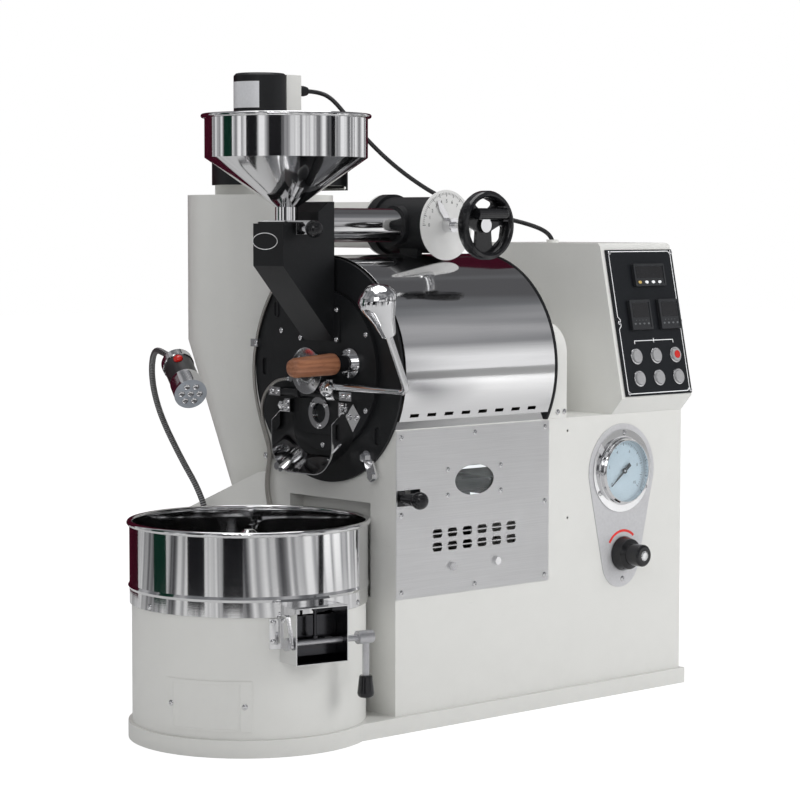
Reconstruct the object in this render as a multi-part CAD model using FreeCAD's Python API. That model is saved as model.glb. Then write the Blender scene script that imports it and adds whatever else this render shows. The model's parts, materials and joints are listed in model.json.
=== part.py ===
import FreeCAD, Part
import math
import os
from FreeCAD import Placement, Rotation, Vector

# Shop roaster for coffee: a gas-fired drum over a cabinet, a round cooling tray in front of it,
# a hopper above it, and a cyclone with its blower beside it.  Millimetres.  The origin is on
# the floor below the tray's axis, +X runs from the tray to the control box, and the side with
# the gauge and the levers faces -Y.

X, Y, Z = Vector(1, 0, 0), Vector(0, 1, 0), Vector(0, 0, 1)

# --- Sheet and fits
SHEET = 1.5                     # folded sheet of the housings
THIN_SHEET = 1.2                # screwed-on panels
RUN = 0.05                      # radial play of a shaft in its hole
PLAY = 0.4                      # play between moving pieces that pass each other
DRILL = 0.4                     # radial room round something fixed that passes a panel

# --- Plinth
PLINTH_TOP = 25.0
PLINTH_MARGIN = 7.5             # plinth beyond the side of the cabinet
PLINTH_NOSE_R = 177.0
PLINTH_REAR = 784.0
WIRE_EDGE = 40.0                # what is left of a panel round its wiring opening

# --- Cabinet
CAB_FRONT = 154.8
CAB_REAR = 778.0
CAB_INSET = 2.0                 # side of the cabinet inside the drum's own radius
CAB_TOP = 447.0
RECESS_HALF = 93.0              # niche in the front that the tray's rim turns into
RECESS_LOW = 197.0
RECESS_HIGH = 336.0
RECESS_DEPTH = 27.0
WIRING_X = (704.0, 758.0)       # wiring hole in the top, below the control box
WIRING_HALF = 60.0
SPARE_HOLES = ((514.5, 426.6), (515.0, 290.8))
INLET_BODY = ((-104.0, -76.0), (84.0, 104.0))   # power inlet in the back
INLET_DEPTH = 26.0
INLET_RIM = 6.0
INLET_WALL = 2.0
LOUVRE_COUNT = 5
LOUVRE_PITCH = 22.0
LOUVRE_HIGH = 5.0
LOUVRE_DROP = 60.0              # from the top of the cover to the first louvre
LOUVRE_HALF = 90.0
LOUVRE_MARGIN = 78.0            # louvres of the side, from the rear corner
LOUVRE_LONG = 180.0

# --- Roasting drum
DRUM_Z = 529.0
DRUM_R = 150.0
DRUM_WALL = 3.0
DRUM_START = 158.0
DRUM_END = 450.0
SHAFT_R = 12.5
VANE_DEPTH = 28.0
VANE_COUNT = 3
SPIDER_X = 300.0
SPIDER_ARM = 14.0
SPIDER_THICK = 6.0
HUB_R = 22.0

# --- Drum cover and the housing behind it
COVER_ROOM = 21.0               # from the drum to the outside of its cover
COVER_END = 463.0
COVER_SKIRT = 12.0
COVER_SLOTS = 8
SLOT_START = 173.0
SLOT_PITCH = 34.6
SLOT_LENGTH = 17.0
SLOT_HEIGHT = 5.0
SLOT_RISE = 6.0                 # lower edge of a slot above the cover's foot
END_PLATE = 4.0
HOUSING_END = 512.0
HOUSING_TOP = 595.0
HOUSING_CORNER = 48.0
GUARD_R = 38.0

# --- Front plates
PLATE_THICK = 6.0
PLATE_INSET = 3.0               # edge of the plate inside the cover
PLUG_HALF = 5.5                 # blind upright ovals in the plate: half width, half height, depth
PLUG_HIGH = 13.0
PLUG_DEPTH = 3.0
PLUGS = ((145.0, 528.0), (-114.0, 436.0))
RIM_AT = (116.0, 617.0)         # oval rim of the sealed port
RIM_PROUD = 1.5
INNER_R = 120.0
INNER_THICK = 6.8
INNER_SCREW_R = 112.0
BEARING_R = 28.5
BEARING_REACH = 33.0
BEARING_CAP_R = 34.5
BEARING_CAP_THICK = 3.0

# --- Tryer, the sampling spoon
TRYER_Y = -66.0
TRYER_Z = 542.0
TRYER_R = 11.0
TRYER_REACH = 120.0
TRYER_FLANGE_R = 22.0
TRYER_FLANGE = 5.0
TRYER_BOSS_R = 13.5
TRYER_BOSS = 9.0
SLEEVE_R = 12.0
SLEEVE_LENGTH = 19.0
GRIP_LENGTH = 86.0
GRIP_R = 16.2
GRIP_END_R = 14.5
GRIP_DROOP = 2.4                # degrees

# --- Discharge door and its weighted lever
HINGE_X = 122.0
HINGE_Z = 494.5
HINGE_PIN_R = 4.0
HINGE_SHAFT_R = 5.0
BLOCK_NEAR = 68.0
BLOCK_WIDTH = 27.0
BLOCK_HALF = 6.5
BLOCK_PITCH = 13.0
PIN_DEPTH = 14.0
DOOR_HALF = 42.0
DOOR_LOW = 434.0
DOOR_THICK = 4.7
DOOR_GAP = 0.3
LUG_Y = (26.0, 34.0)
LUG_R = 8.0
SIGHT_Z = 465.0
SIGHT_R = 24.0
SIGHT_GLASS_R = 16.0
SIGHT_RING = 3.0
GLASS_THICK = 2.5
BALL_R = 12.5
BALL_Y = -47.0
STEM_POST_R = 6.0
STEM_POST_TOP = 518.0
LEVER_BEND = 14.0
LEVER_R = 5.0
LEVER_Y = -217.0
LEVER_UP = 13.0                 # lever rod above the hinge axis
LEVER_FORE = 6.5                # and in front of it
WEIGHT_X = 64.0
WEIGHT_Z = 625.0
WEIGHT_R = 28.0
WEIGHT_LENGTH = 78.0

# --- Discharge scoop
SCOOP_HALF = 70.0
SCOOP_FRONT = 100.0
SCOOP_TOP = 470.0
SCOOP_SHOULDER = 453.0
SCOOP_LOW = 376.0
SCOOP_CORNER = 44.0
SCOOP_SLOPE = 24.0
SCOOP_BEVEL = 21.0
EAR_R = 6.0
EAR_AT = (123.0, 474.0)
FLANGE_OUT = 16.5               # three-cornered flange of each cheek: reach and heights
FLANGE_Z = (438.0, 463.0, 483.0)
FLANGE_SCREW = (7.5, 462.0)
CHEEK_STEP = 14.0               # length of the cheek's raised end at the plate
BRACKET_WIDTH = 12.5
BRACKET_DEPTH = 18.0
BRACKET_Z = (464.0, 484.0)
BRACKET_SCREWS = (469.2, 478.8)

# --- Other fittings of the plates
STRAP_THICK = 3.5
STRAP_BEND = 7.0
STRAP_TURN = -54.3              # degrees, where a strap crosses the plate's edge
STRAP_OUTLINE = ((-15.0, 20.4), (2.0, 22.4), (20.0, -18.6), (3.0, -26.6))   # about that point
STRAP_BOLTS = ((-6.5, 11.4), (9.5, -15.1))
CLIP_THICK = 9.0
RIM_CLIP_Y = (152.0, 169.0)
RIM_CLIP_Z = (558.0, 570.0)
CLIP_FACE = 148.0
CLIP_Y = (122.0, 147.0)
CLIP_Z = (386.0, 395.0)
GLAND_R = 3.7
GLAND_SLEEVE = 9.0
GLAND_POST_R = 4.2

# --- Feed chute, hopper and slide gate
CHUTE_NEAR = -27.0
CHUTE_WIDTH = 70.0
CHUTE_FRONT = 44.0
CHUTE_RISE = 2.5                # top of the chute above the exhaust's axis
CHUTE_DROP = 62.0               # height of its upright front
HEAD_RISE = 32.0                # the raised part that the exhaust leaves from
HEAD_LENGTH = 11.0
HEAD_STEP = 15.0
CHUTE_FOOT = 572.5
CHUTE_EAR = 13.0
HOPPER_X = 79.0
SPOUT_HEIGHT = 24.0
CONE_HEIGHT = 72.0
BOWL_HEIGHT = 64.0
HOPPER_R = 120.0
HOPPER_BEAD = 3.2
SPOUT_R = 17.0
GATE_HALF = 17.5
GATE_THICK = 2.0
KNOB_R = 13.0

# --- Exhaust pipe, damper, dial and handwheel
PIPE_R = 25.4
DAMPER_X = 338.5
DAMPER_NEAR = -58.0
DAMPER_FAR = 77.0
DAMPER_R = 43.0
DAMPER_WALL = 5.0
VANE_LENGTH = 78.0              # hood of the damper's vane, along its stem
VANE_WEB = 60.0
DAMPER_GAP = 1.5                # between the damper and the drum's cover below it
LUG_SINK = 3.0
DAMPER_FLANGE_R = 47.5
DAMPER_FLANGE = 18.0
COLLAR_REACH = 5.5              # how far the pipe's collar stands out of the body
SOCKET_DEPTH = 4.0
LUG_OFFSET = 14.0
STEM_R = 5.0
DIAL_R = 53.5
DIAL_THICK = 2.0
POINTER = ((-4.0, 6.0), (-17.0, 22.0), (-23.0, 40.0), (-12.0, 33.0), (6.0, 9.0))
POINTER_HUB = 17.0
HUB_GAP = 0.5
WHEEL_Y = -146.0
WHEEL_R = 51.7
WHEEL_RIM = 6.0
WHEEL_WEB = 6.0
WHEEL_GRIP_R = 8.5
WHEEL_GRIP_LENGTH = 58.0
WHEEL_GRIP_RISE = 17.0

# --- Cyclone, chaff box and blower
CYCLONE_X = 276.0
CYCLONE_Y = 312.0
CYCLONE_R = 117.0
CYCLONE_RISE = 47.5             # its lid above the duct's axis
CYCLONE_CONE_Z = 560.0
CYCLONE_END_R = 36.0
CYCLONE_END_Z = 282.0
DUCT_R = 36.0
FINDER_DEPTH = 110.0
CHAFF_X = (160.0, 392.0)
CHAFF_FAR = 432.0
SHOULDER_DEPTH = 19.5           # level part of the box's top, beside the cabinet
CHAFF_TOP = 362.0
CHAFF_FALL = 0.392
DRAWER_LOW = 20.0
DRAWER_HIGH = 200.0
DRAWER_MARGIN = 14.0
COLLAR_HALF = 52.0
COLLAR_HEIGHT = 16.0
VOLUTE_R = 78.0
VOLUTE_HEIGHT = 86.0
INLET_R = 40.0
OUTLET_REACH = 112.0
OUTLET_WIDTH = 58.0
OUTLET_FLANGE = 8.0
OUTLET_BOLT_R = 2.6
MOTOR_R = 42.7
MOTOR_HEIGHT = 93.0
TERMINAL_REACH = 70.0
TERMINAL_HALF = 20.0
TERMINAL_HEIGHT = 66.0
IMPELLER_R = 62.0
BLADES = 12

# --- Cooling tray
TRAY_R = 171.0
HATCH_Z = (36.0, 108.0)
HATCH_TURN = (-171.0, -127.4)   # degrees about the tray's axis
HATCH_FIELD_Z = (39.5, 103.0)   # sunk middle of the pressed hatch
HATCH_FIELD_TURN = (-167.0, -133.1)
HATCH_SUNK = 0.7
RING_WALL = 3.0                 # outside of the chrome ring beyond the drum's wall
RING_LOW = 198.0
RING_TOP = 314.0
RIM_BEAD_R = 4.0
BAND_Z = 223.0
FLOOR_Z = 216.0
STIRRER_GAP = 9.0               # arms' ends inside the tray's wall
STIRRER_ARM_Z = 286.0
STIRRER_ARMS = 4
STIRRER_TURN = 48.0
ARM_THICK = 4.0
STIRRER_BLADES = ((140.0, 35.0), (87.0, -35.0))   # radius and angle of each blade
BLADE_HEIGHT = 34.0
STIRRER_SHAFT_R = 8.0
POST_R = 17.0
TRAY_MOTOR_R = 45.0
OUTLET_TURN = -10.0             # outlet about the tray's axis; its sizes are square to its mouth
OUTLET_X = (-42.0, 42.0)
OUTLET_PROUD = 41.0             # mouth before the drum's wall
OUTLET_DEEP = 53.0              # inner end behind it
GATE_EDGE = 6.0                 # tray's floor left standing round the hole above the outlet
SLIDE_RUN = 32.5                # length of the sloping stretch of the floor
TAB_Z = (153.0, 196.0)
TAB_TURN = (-119.4, -113.8)
TAB_BOLT = -117.5
OUTLET_LOW = 134.5
OUTLET_HIGH = 214.5
FLAP_Z = 163.5
FLAP_INSET = 17.0               # shaft behind the mouth
FLAP_BACK = 14.0                # flap behind its shaft
FLAP_SPAN = (142.5, 199.0)
FLAP_TABS = (-32.0, 22.0)
STOP_X = -3.0                   # rod that the flap closes against
STOP_INSET = 16.0
STOP_LIFT = 5.5
NUT_REACH = 4.0
HANGER_TOP = 203.0              # strap on the outlet's cheek that the shaft turns in
HANGER_BOLT = (14.0, 195.0)
FLAP_SHAFT_R = 4.5
LEVER_X = (67.0, 91.0)
LEVER_HUB_R = 9.5
LEVER_GRIP_Z = (76.5, 108.4)

# --- Control box; its panel is drawn in its own plane, along X and up the slope from the lip
BOX_FRONT = 613.8
BOX_LIP = 22.3                  # the panel's lower edge stands out past the cabinet's side
BOX_LIP_Z = 471.9
BOX_BROW = 27.6                 # and its upper edge lies inside it
BOX_BROW_Z = 711.3
BOX_TOP = 716.0
PANEL_X = (622.0, 777.0)
PANEL_S = (3.0, 238.0)
PANEL_THICK = 3.0
DISPLAYS = ((675.0, 747.0, 178.0, 214.0), (653.3, 701.3, 108.0, 156.0), (721.8, 769.8, 108.0, 156.0))
DISPLAY_RIM = 3.5
PANEL_LAP = 7.0
PANEL_SCREW_R = 3.2
PANEL_SCREW_X = (7.0, 3.6)      # from the panel's left and right edges
PANEL_SCREW_S = 5.0
DISPLAY_PROUD = 6.0
DISPLAY_BODY = 40.0
BUTTON_COLUMNS = (657.0, 703.0, 749.0)
BUTTON_ROWS = (66.0, 30.5)
BUTTON_R = 10.0
BUTTON_PROUD = 5.0
BUTTON_STEM = 16.0
BEZEL_R = 13.0
BEZEL_PROUD = 2.5

# --- Access panel, gauge and regulator on the near side
ACCESS_X = (155.4, 472.0)
ACCESS_Z = (197.5, 445.0)
ACCESS_MARGIN = 10.0
WINDOW = (313.3, 364.5)
WINDOW_HALF = (40.0, 23.0)
PANE_THICK = 2.0
PANE_LAP = 8.0
VENT_START = 237.6
VENT_PITCH = 30.6
VENT_COUNT = 6
VENT_ROWS = (289.0, 269.0)
SLOT_X = (157.5, 203.0)
SLOT_Z = (334.6, 358.0)
AIR_X = 166.0
AIR_ROD_R = 5.0
AIR_ROD_REACH = 40.0
SHOE_DEPTH = 26.0               # back of the lever's shoe, from the wall's face
SHOE_GAP = 0.3
RAIL_PAST = 5.0
GAUGE = (637.0, 356.5)
GAUGE_PLATE_R = 75.0
GAUGE_FLANGE_R = 66.0
GAUGE_R = 52.0
GAUGE_PROUD = 13.0
GAUGE_DIAL_R = 48.5
GAUGE_DEPTH = 34.0
NEEDLE_POST_R = 2.0
NEEDLE_TURN = -128.0
KNOB = (640.5, 224.3)
KNOB_PLATE_R = 42.0
KNOB_PLATE_Z = 213.0
REGULATOR_R = 17.5
REGULATOR_PROUD = 46.5
REGULATOR_FLARE = 27.5
REGULATOR_STEM_R = 6.0
STEM_DEPTH = 20.0
STEM_HOLE_R = REGULATOR_STEM_R + 2
VALVE_FRONT = -126.0
VALVE_HALF = 22.0
VALVE_Z = (204.0, 252.0)

# --- Burner
BURNER_Z = 345.0
BURNER_R = 9.0
BURNER_X = (190.0, 430.0)
BURNER_Y = (-62.0, 0.0, 62.0)
MANIFOLD_PAST = 12.0
GAS_R = 8.0
GAS_Z = 230.0
GAS_REACH = 24.0
GAS_NUT = 8.0                   # locknut that holds the inlet pipe behind the back
GAS_BUSH = 1.5                  # wall of its bush in the back
GAS_BUSH_REACH = 1.0

# --- Work lamp
LAMP_CAP = Vector(0, 172, 538)
LAMP_AIM = Vector(-0.356, -0.845, -0.472)
LAMP_LENGTH = 92.0
LAMP_R = 24.5
NECK_R = 4.8
NECK_ROUTE = ((150, 296, 262), (150, 295, 290), (138, 303, 330), (118, 309, 366), (100, 312, 399),
              (82, 313, 432), (64, 308, 465), (48, 298, 498), (33, 280, 530), (17, 250, 554),
              (6, 214, 552))

# --- Free cables
MOTOR_CABLE_R = 3.6
MOTOR_CABLE = ((374, 312, 962), (392, 309, 962), (407, 290, 953), (423, 264, 918), (446, 230, 872),
               (478, 192, 828), (520, 145, 787), (565, 95, 764), (596, 60, 753), (616, 37, 745),
               (631, 20, 736), (639, 10, 724), (640, 8, 712))
PROBE_CABLE_R = 2.5
PROBE_CABLE = ((130, 66, 513), (128.5, 84, 512), (127, 102, 503.5), (126.5, 117.5, 489.5),
               (128, 127.5, 471.5), (131.5, 130.5, 451), (136, 127, 430.5), (141, 124, 410.5),
               (145.5, 127.5, 390.5), (148, 134.5, 371), (148.5, 138.5, 351), (148.5, 136.5, 331),
               (148.5, 131, 313))
RIM_CABLE = ((128, 62, 690), (133, 81, 687), (141, 99, 674), (146, 116, 653.5), (146, 134, 630),
             (146, 149.5, 603), (146, 160, 575), (146, 167, 546), (146, 169, 516), (146, 165, 486),
             (146.5, 157.5, 458), (147.5, 147, 430), (149, 137.5, 405), (150, 136.5, 388),
             (150.8, 141.5, 371), (151, 145.8, 351), (151, 144.5, 331), (151, 139.5, 313))

# --- Screws
SCREW_R = 4.2
SCREW_HEAD = 2.4
HEX_R = 6.5
HEX_HEAD = 5.0


def block(x, y, z):
    """Box between two limits along each axis."""
    return Part.makeBox(x[1] - x[0], y[1] - y[0], z[1] - z[0], Vector(x[0], y[0], z[0]))


def rod(radius, start, axis, length):
    return Part.makeCylinder(radius, length, start, axis)


def ring(outer, inner, start, axis, length):
    return rod(outer, start, axis, length).cut(rod(inner, start, axis, length))


def join(first, *others):
    return first.multiFuse(list(others)).removeSplitter()


def cut(shape, *tools):
    return shape.cut(list(tools))


def corner(before, point, after, radius):
    """Ends and middle of the tangent arc that rounds one corner of a path."""
    back = (before - point).normalize()
    ahead = (after - point).normalize()
    half = back.getAngle(ahead) / 2
    reach = radius / math.tan(half)
    centre = point + (back + ahead).normalize() * (radius / math.sin(half))
    middle = centre + (point - centre).normalize() * radius
    return point + back * reach, middle, point + ahead * reach


def rounded_wire(points, radii):
    """Closed wire through flat points, each corner rounded by its own radius (0 is sharp)."""
    count = len(points)
    edges = []
    ends = []
    for i in range(count):
        if radii[i] == 0:
            ends.append((points[i], points[i]))
            continue
        start, middle, end = corner(points[i - 1], points[i], points[(i + 1) % count], radii[i])
        edges.append(Part.Arc(start, middle, end).toShape())
        ends.append((start, end))
    for i in range(count):
        start, end = ends[i][1], ends[(i + 1) % count][0]
        if start.distanceToPoint(end) > 1e-6:
            edges.append(Part.makeLine(start, end))
    return Part.Wire(Part.__sortEdges__(edges))


def slab(points, radii, thickness):
    """Solid with a flat rounded outline, thickened along the vector given."""
    if isinstance(radii, (int, float)):
        radii = [radii] * len(points)
    return Part.Face(rounded_wire(points, radii)).extrude(thickness)


def lathe(profile, start, axis):
    """Solid of revolution: profile holds (distance along the axis, radius) pairs."""
    points = [Vector(radius, 0, along) for along, radius in profile]
    points.append(points[0])
    solid = Part.Face(Part.makePolygon(points)).revolve(Vector(0, 0, 0), Z, 360)
    solid.Placement = Placement(start, Rotation(Z, axis))
    return solid


def path_wire(route):
    """Straight runs joined by arcs as large as the two runs at each point allow."""
    points = [Vector(*point) for point in route]
    edges = []
    radii = []
    last = points[0]
    for before, point, after in zip(points, points[1:], points[2:]):
        turn = math.pi - (before - point).getAngle(after - point)
        shorter = min(before.distanceToPoint(point), point.distanceToPoint(after))
        radius = 0.45 * shorter / math.tan(turn / 2)
        radii.append(radius)
        start, middle, end = corner(before, point, after, radius)
        edges.append(Part.makeLine(last, start))
        edges.append(Part.Arc(start, middle, end).toShape())
        last = end
    edges.append(Part.makeLine(last, points[-1]))
    return Part.Wire(edges), radii


def tube_along(route, radius):
    """Round bar that follows a route."""
    path, radii = path_wire(route)
    start = Vector(*route[0])
    section = Part.Wire(Part.makeCircle(radius, start, Vector(*route[1]) - start))
    bar = path.makePipeShell([section], True, False)
    expected = math.pi * radius ** 2 * path.Length
    print("route of %.0f mm, volume / expected %.4f, smallest radius %.0f mm"
          % (path.Length, bar.Volume / expected, min(radii)))
    return bar


def around(y, z, radius, degrees):
    """Point on a circle of the YZ plane, as (y, z)."""
    turn = math.radians(degrees)
    return y + radius * math.cos(turn), z + radius * math.sin(turn)


def screw(seat, normal, radius=SCREW_R):
    """Dome-headed screw with a hexagon socket; only its head shows above the seat."""
    head = lathe([(0, 0), (0, radius), (0.4 * SCREW_HEAD, radius),
                  (0.8 * SCREW_HEAD, 0.75 * radius), (SCREW_HEAD, 0.4 * radius), (SCREW_HEAD, 0)],
                 seat, normal)
    return head.cut(rod(0.38 * radius, seat + normal * (0.5 * SCREW_HEAD), normal, SCREW_HEAD))


def hex_bolt(seat, normal):
    """Hexagon bolt head."""
    corners = [Vector(HEX_R * math.cos(a), HEX_R * math.sin(a), 0)
               for a in (math.radians(60 * i) for i in range(6))]
    head = slab(corners, 0, Z * HEX_HEAD)
    head.Placement = Placement(seat, Rotation(Z, normal))
    return head


def save(node, *solids):
    """Write one node; a node of several loose solids is a group."""
    shape = solids[0] if len(solids) == 1 else Part.makeCompound(list(solids))
    if not shape.isValid() or min(solid.Volume for solid in shape.Solids) <= 0:
        raise ValueError(node + " is not a valid solid")
    shape.exportStep("parts/" + node + ".step")
    box = shape.BoundBox
    print("%-16s %2d solids  x %.1f..%.1f  y %.1f..%.1f  z %.1f..%.1f" % (
        node, len(shape.Solids), box.XMin, box.XMax, box.YMin, box.YMax, box.ZMin, box.ZMax))


# Faces and lines that several sub-parts share
CAB_HALF = DRUM_R - CAB_INSET
PLINTH_HALF = CAB_HALF + PLINTH_MARGIN
COVER_R = DRUM_R + COVER_ROOM
PLATE_R = COVER_R - PLATE_INSET
PIPE_Z = DRUM_Z + COVER_R + DAMPER_R + DAMPER_GAP
RING_R = TRAY_R + RING_WALL
STIRRER_R = TRAY_R - STIRRER_GAP
OUTLET_Y = -TRAY_R - OUTLET_PROUD
OUTLET_ROOT = OUTLET_DEEP - TRAY_R
FLAP_Y = OUTLET_Y + FLAP_INSET
CHUTE_TOP = PIPE_Z + CHUTE_RISE
CHUTE_LIP = CHUTE_TOP - CHUTE_DROP
CHUTE_HEAD = CHUTE_TOP + HEAD_RISE
HOPPER_CONE_Z = CHUTE_TOP + SPOUT_HEIGHT
HOPPER_BOWL_Z = HOPPER_CONE_Z + CONE_HEIGHT
HOPPER_RIM_Z = HOPPER_BOWL_Z + BOWL_HEIGHT
CYCLONE_TOP = PIPE_Z + CYCLONE_RISE
CHAFF_SHOULDER = PLINTH_HALF + SHOULDER_DEPTH
PLATE_FACE = CAB_FRONT - PLATE_THICK
INNER_FACE = PLATE_FACE - INNER_THICK
NEAR = -CAB_HALF
PANEL_FACE = NEAR - THIN_SHEET
CHUTE_FAR = CHUTE_NEAR + CHUTE_WIDTH
CHUTE_Y = CHUTE_NEAR + CHUTE_WIDTH / 2
DRUM_AXIS = Vector(0, 0, DRUM_Z)
VOLUTE_LOW = CYCLONE_TOP + COLLAR_HEIGHT
VOLUTE_HIGH = VOLUTE_LOW + VOLUTE_HEIGHT
MOTOR_TOP = VOLUTE_HIGH + MOTOR_HEIGHT
BOX_LIP_Y = NEAR - BOX_LIP
BOX_BROW_Y = NEAR + BOX_BROW
AIR_BALL_Y = NEAR - AIR_ROD_REACH
SLOPE = math.degrees(math.atan2(BOX_BROW_Z - BOX_LIP_Z, BOX_BROW_Y - BOX_LIP_Y))
PANEL_FRAME = Placement(Vector(0, BOX_LIP_Y, BOX_LIP_Z), Rotation(X, SLOPE))


def on_axis(x):
    """Point on the drum's axis."""
    return Vector(x, 0, DRUM_Z)


# ---------------------------------------------------------------- plinth and cabinet

def plinth():
    """Low hollow platform: a bar below the cabinet with a round nose below the tray."""
    def outline(inset, low, high):
        nose = rod(PLINTH_NOSE_R - inset, Z * low, Z, high - low)
        bar = block((0, PLINTH_REAR - inset), (inset - PLINTH_HALF, PLINTH_HALF - inset), (low, high))
        return nose.fuse(bar)

    shell = outline(0, 0, PLINTH_TOP).cut(outline(SHEET, SHEET, PLINTH_TOP - SHEET))
    half = CAB_HALF - WIRE_EDGE
    under_cabinet = block((CAB_FRONT + WIRE_EDGE, CAB_REAR - WIRE_EDGE), (-half, half),
                          (PLINTH_TOP - 2 * SHEET, PLINTH_TOP + SHEET))
    save("base_plinth", cut(shell, under_cabinet).removeSplitter())


def cabinet():
    outer = block((CAB_FRONT, CAB_REAR), (-CAB_HALF, CAB_HALF), (PLINTH_TOP, CAB_TOP))
    inner = block((CAB_FRONT + SHEET, CAB_REAR + SHEET), (SHEET - CAB_HALF, CAB_HALF + SHEET),
                  (PLINTH_TOP - SHEET, CAB_TOP - SHEET))
    niche = block((CAB_FRONT, CAB_FRONT + RECESS_DEPTH + SHEET), (-RECESS_HALF - SHEET, RECESS_HALF + SHEET),
                  (RECESS_LOW - SHEET, RECESS_HIGH + SHEET))
    niche_space = block((CAB_FRONT - SHEET, CAB_FRONT + RECESS_DEPTH), (-RECESS_HALF, RECESS_HALF),
                        (RECESS_LOW, RECESS_HIGH))
    shoe_back = NEAR + SHOE_DEPTH + SHOE_GAP
    rail = block((CAB_FRONT, SLOT_X[1] + RAIL_PAST), (shoe_back, shoe_back + SHEET), SLOT_Z)
    shell = outer.cut(inner).fuse([niche, rail]).cut(niche_space)
    drum_hole = rod(DRUM_R + 5, on_axis(CAB_FRONT - SHEET), X, 3 * SHEET)
    top_hole = block((CAB_FRONT + SHEET, COVER_END - 6), (12 - CAB_HALF, CAB_HALF - 12),
                     (CAB_TOP - 2 * SHEET, CAB_TOP + SHEET))
    near_wall = (NEAR - SHEET, NEAR + 2 * SHEET)
    access = block((SLOT_X[1] + 12, ACCESS_X[1] - 2 * ACCESS_MARGIN), near_wall,
                   (ACCESS_Z[0] + 2 * ACCESS_MARGIN, ACCESS_Z[1] - 2 * ACCESS_MARGIN))
    slot = block((SLOT_X[0], SLOT_X[1] + 2), near_wall, SLOT_Z)
    gauge_hole = rod(GAUGE_R + DRILL, Vector(GAUGE[0], NEAR - SHEET, GAUGE[1]), Y, 3 * SHEET)
    knob_hole = rod(STEM_HOLE_R, Vector(KNOB[0], NEAR - SHEET, KNOB[1]), Y, 3 * SHEET)
    wiring = block(WIRING_X, (-WIRING_HALF, WIRING_HALF), (CAB_TOP - 2 * SHEET, CAB_TOP + SHEET))
    spare_holes = [rod(2, Vector(x, NEAR - SHEET, z), Y, 3 * SHEET) for x, z in SPARE_HOLES]
    shell = cut(shell, drum_hole, top_hole, access, slot, gauge_hole, knob_hole, wiring, *spare_holes)
    save("cabinet_shell", shell.removeSplitter())


def rear_cover():
    """Far side and back of the cabinet, one folded sheet that lifts off."""
    low, high = PLINTH_TOP, CAB_TOP - SHEET
    side = block((CAB_FRONT + SHEET, CAB_REAR), (CAB_HALF - SHEET, CAB_HALF), (low, high))
    back = block((CAB_REAR - SHEET, CAB_REAR), (SHEET - CAB_HALF, CAB_HALF), (low, high))
    cover = join(side, back)
    side_end = CAB_REAR - LOUVRE_MARGIN
    louvres = []
    for row in range(LOUVRE_COUNT):
        z = high - LOUVRE_DROP - LOUVRE_PITCH * row
        span = (z, z + LOUVRE_HIGH)
        louvres.append(block((CAB_REAR - 2 * SHEET, CAB_REAR + SHEET), (-LOUVRE_HALF, LOUVRE_HALF), span))
        louvres.append(block((side_end - LOUVRE_LONG, side_end),
                             (CAB_HALF - 2 * SHEET, CAB_HALF + SHEET), span))
    gas = rod(GAS_R + GAS_BUSH + DRILL, Vector(CAB_REAR - 2 * SHEET, 0, GAS_Z), X, 3 * SHEET)
    around_inlet = block((CAB_REAR - 2 * SHEET, CAB_REAR + SHEET), *INLET_BODY)
    body = block((CAB_REAR - INLET_DEPTH, CAB_REAR), *INLET_BODY)
    rim = [(low - INLET_RIM, high + INLET_RIM) for low, high in INLET_BODY]
    plate = block((CAB_REAR, CAB_REAR + 2 * SHEET), *rim)
    hollow = [(low + INLET_WALL, high - INLET_WALL) for low, high in INLET_BODY]
    socket = block((CAB_REAR - INLET_DEPTH + 2 * INLET_WALL, CAB_REAR + 3 * SHEET), *hollow)
    save("rear_cover", cut(cover, gas, around_inlet, *louvres), join(body, plate).cut(socket))


def window_ellipse(grow, far_y, thickness):
    """Elliptic slab the size of the access panel's window, grown by a margin, back face at far_y."""
    ellipse = Part.Ellipse(Vector(0, 0, 0), WINDOW_HALF[0] + grow, WINDOW_HALF[1] + grow)
    pane = Part.Face(Part.Wire(ellipse.toShape())).extrude(Z * thickness)
    pane.Placement = Placement(Vector(WINDOW[0], far_y, WINDOW[1]), Rotation(X, 90))
    return pane


def access_panel():
    """Cover sheet with the elliptic window, two rows of vents and the slot of the air lever."""
    panel = block(ACCESS_X, (PANEL_FACE, NEAR), ACCESS_Z)
    tools = [block(SLOT_X, (PANEL_FACE - 1, NEAR + 1), SLOT_Z), window_ellipse(0, NEAR + 1, THIN_SHEET + 2)]
    for z in VENT_ROWS:
        for i in range(VENT_COUNT):
            x = VENT_START + VENT_PITCH * i
            for side in (-1, 1):
                slot = [Vector(x + dx, PANEL_FACE - 1, z + side * dz)
                        for dx, dz in ((-10, 1), (10, 1), (8, 6.5), (-8, 6.5))]
                tools.append(slab(slot, [0, 0, 3.5, 3.5], Y * (THIN_SHEET + 2)))
    save("access_panel", cut(panel, *tools))


# ---------------------------------------------------------------- drum, its cover and its drive

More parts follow.
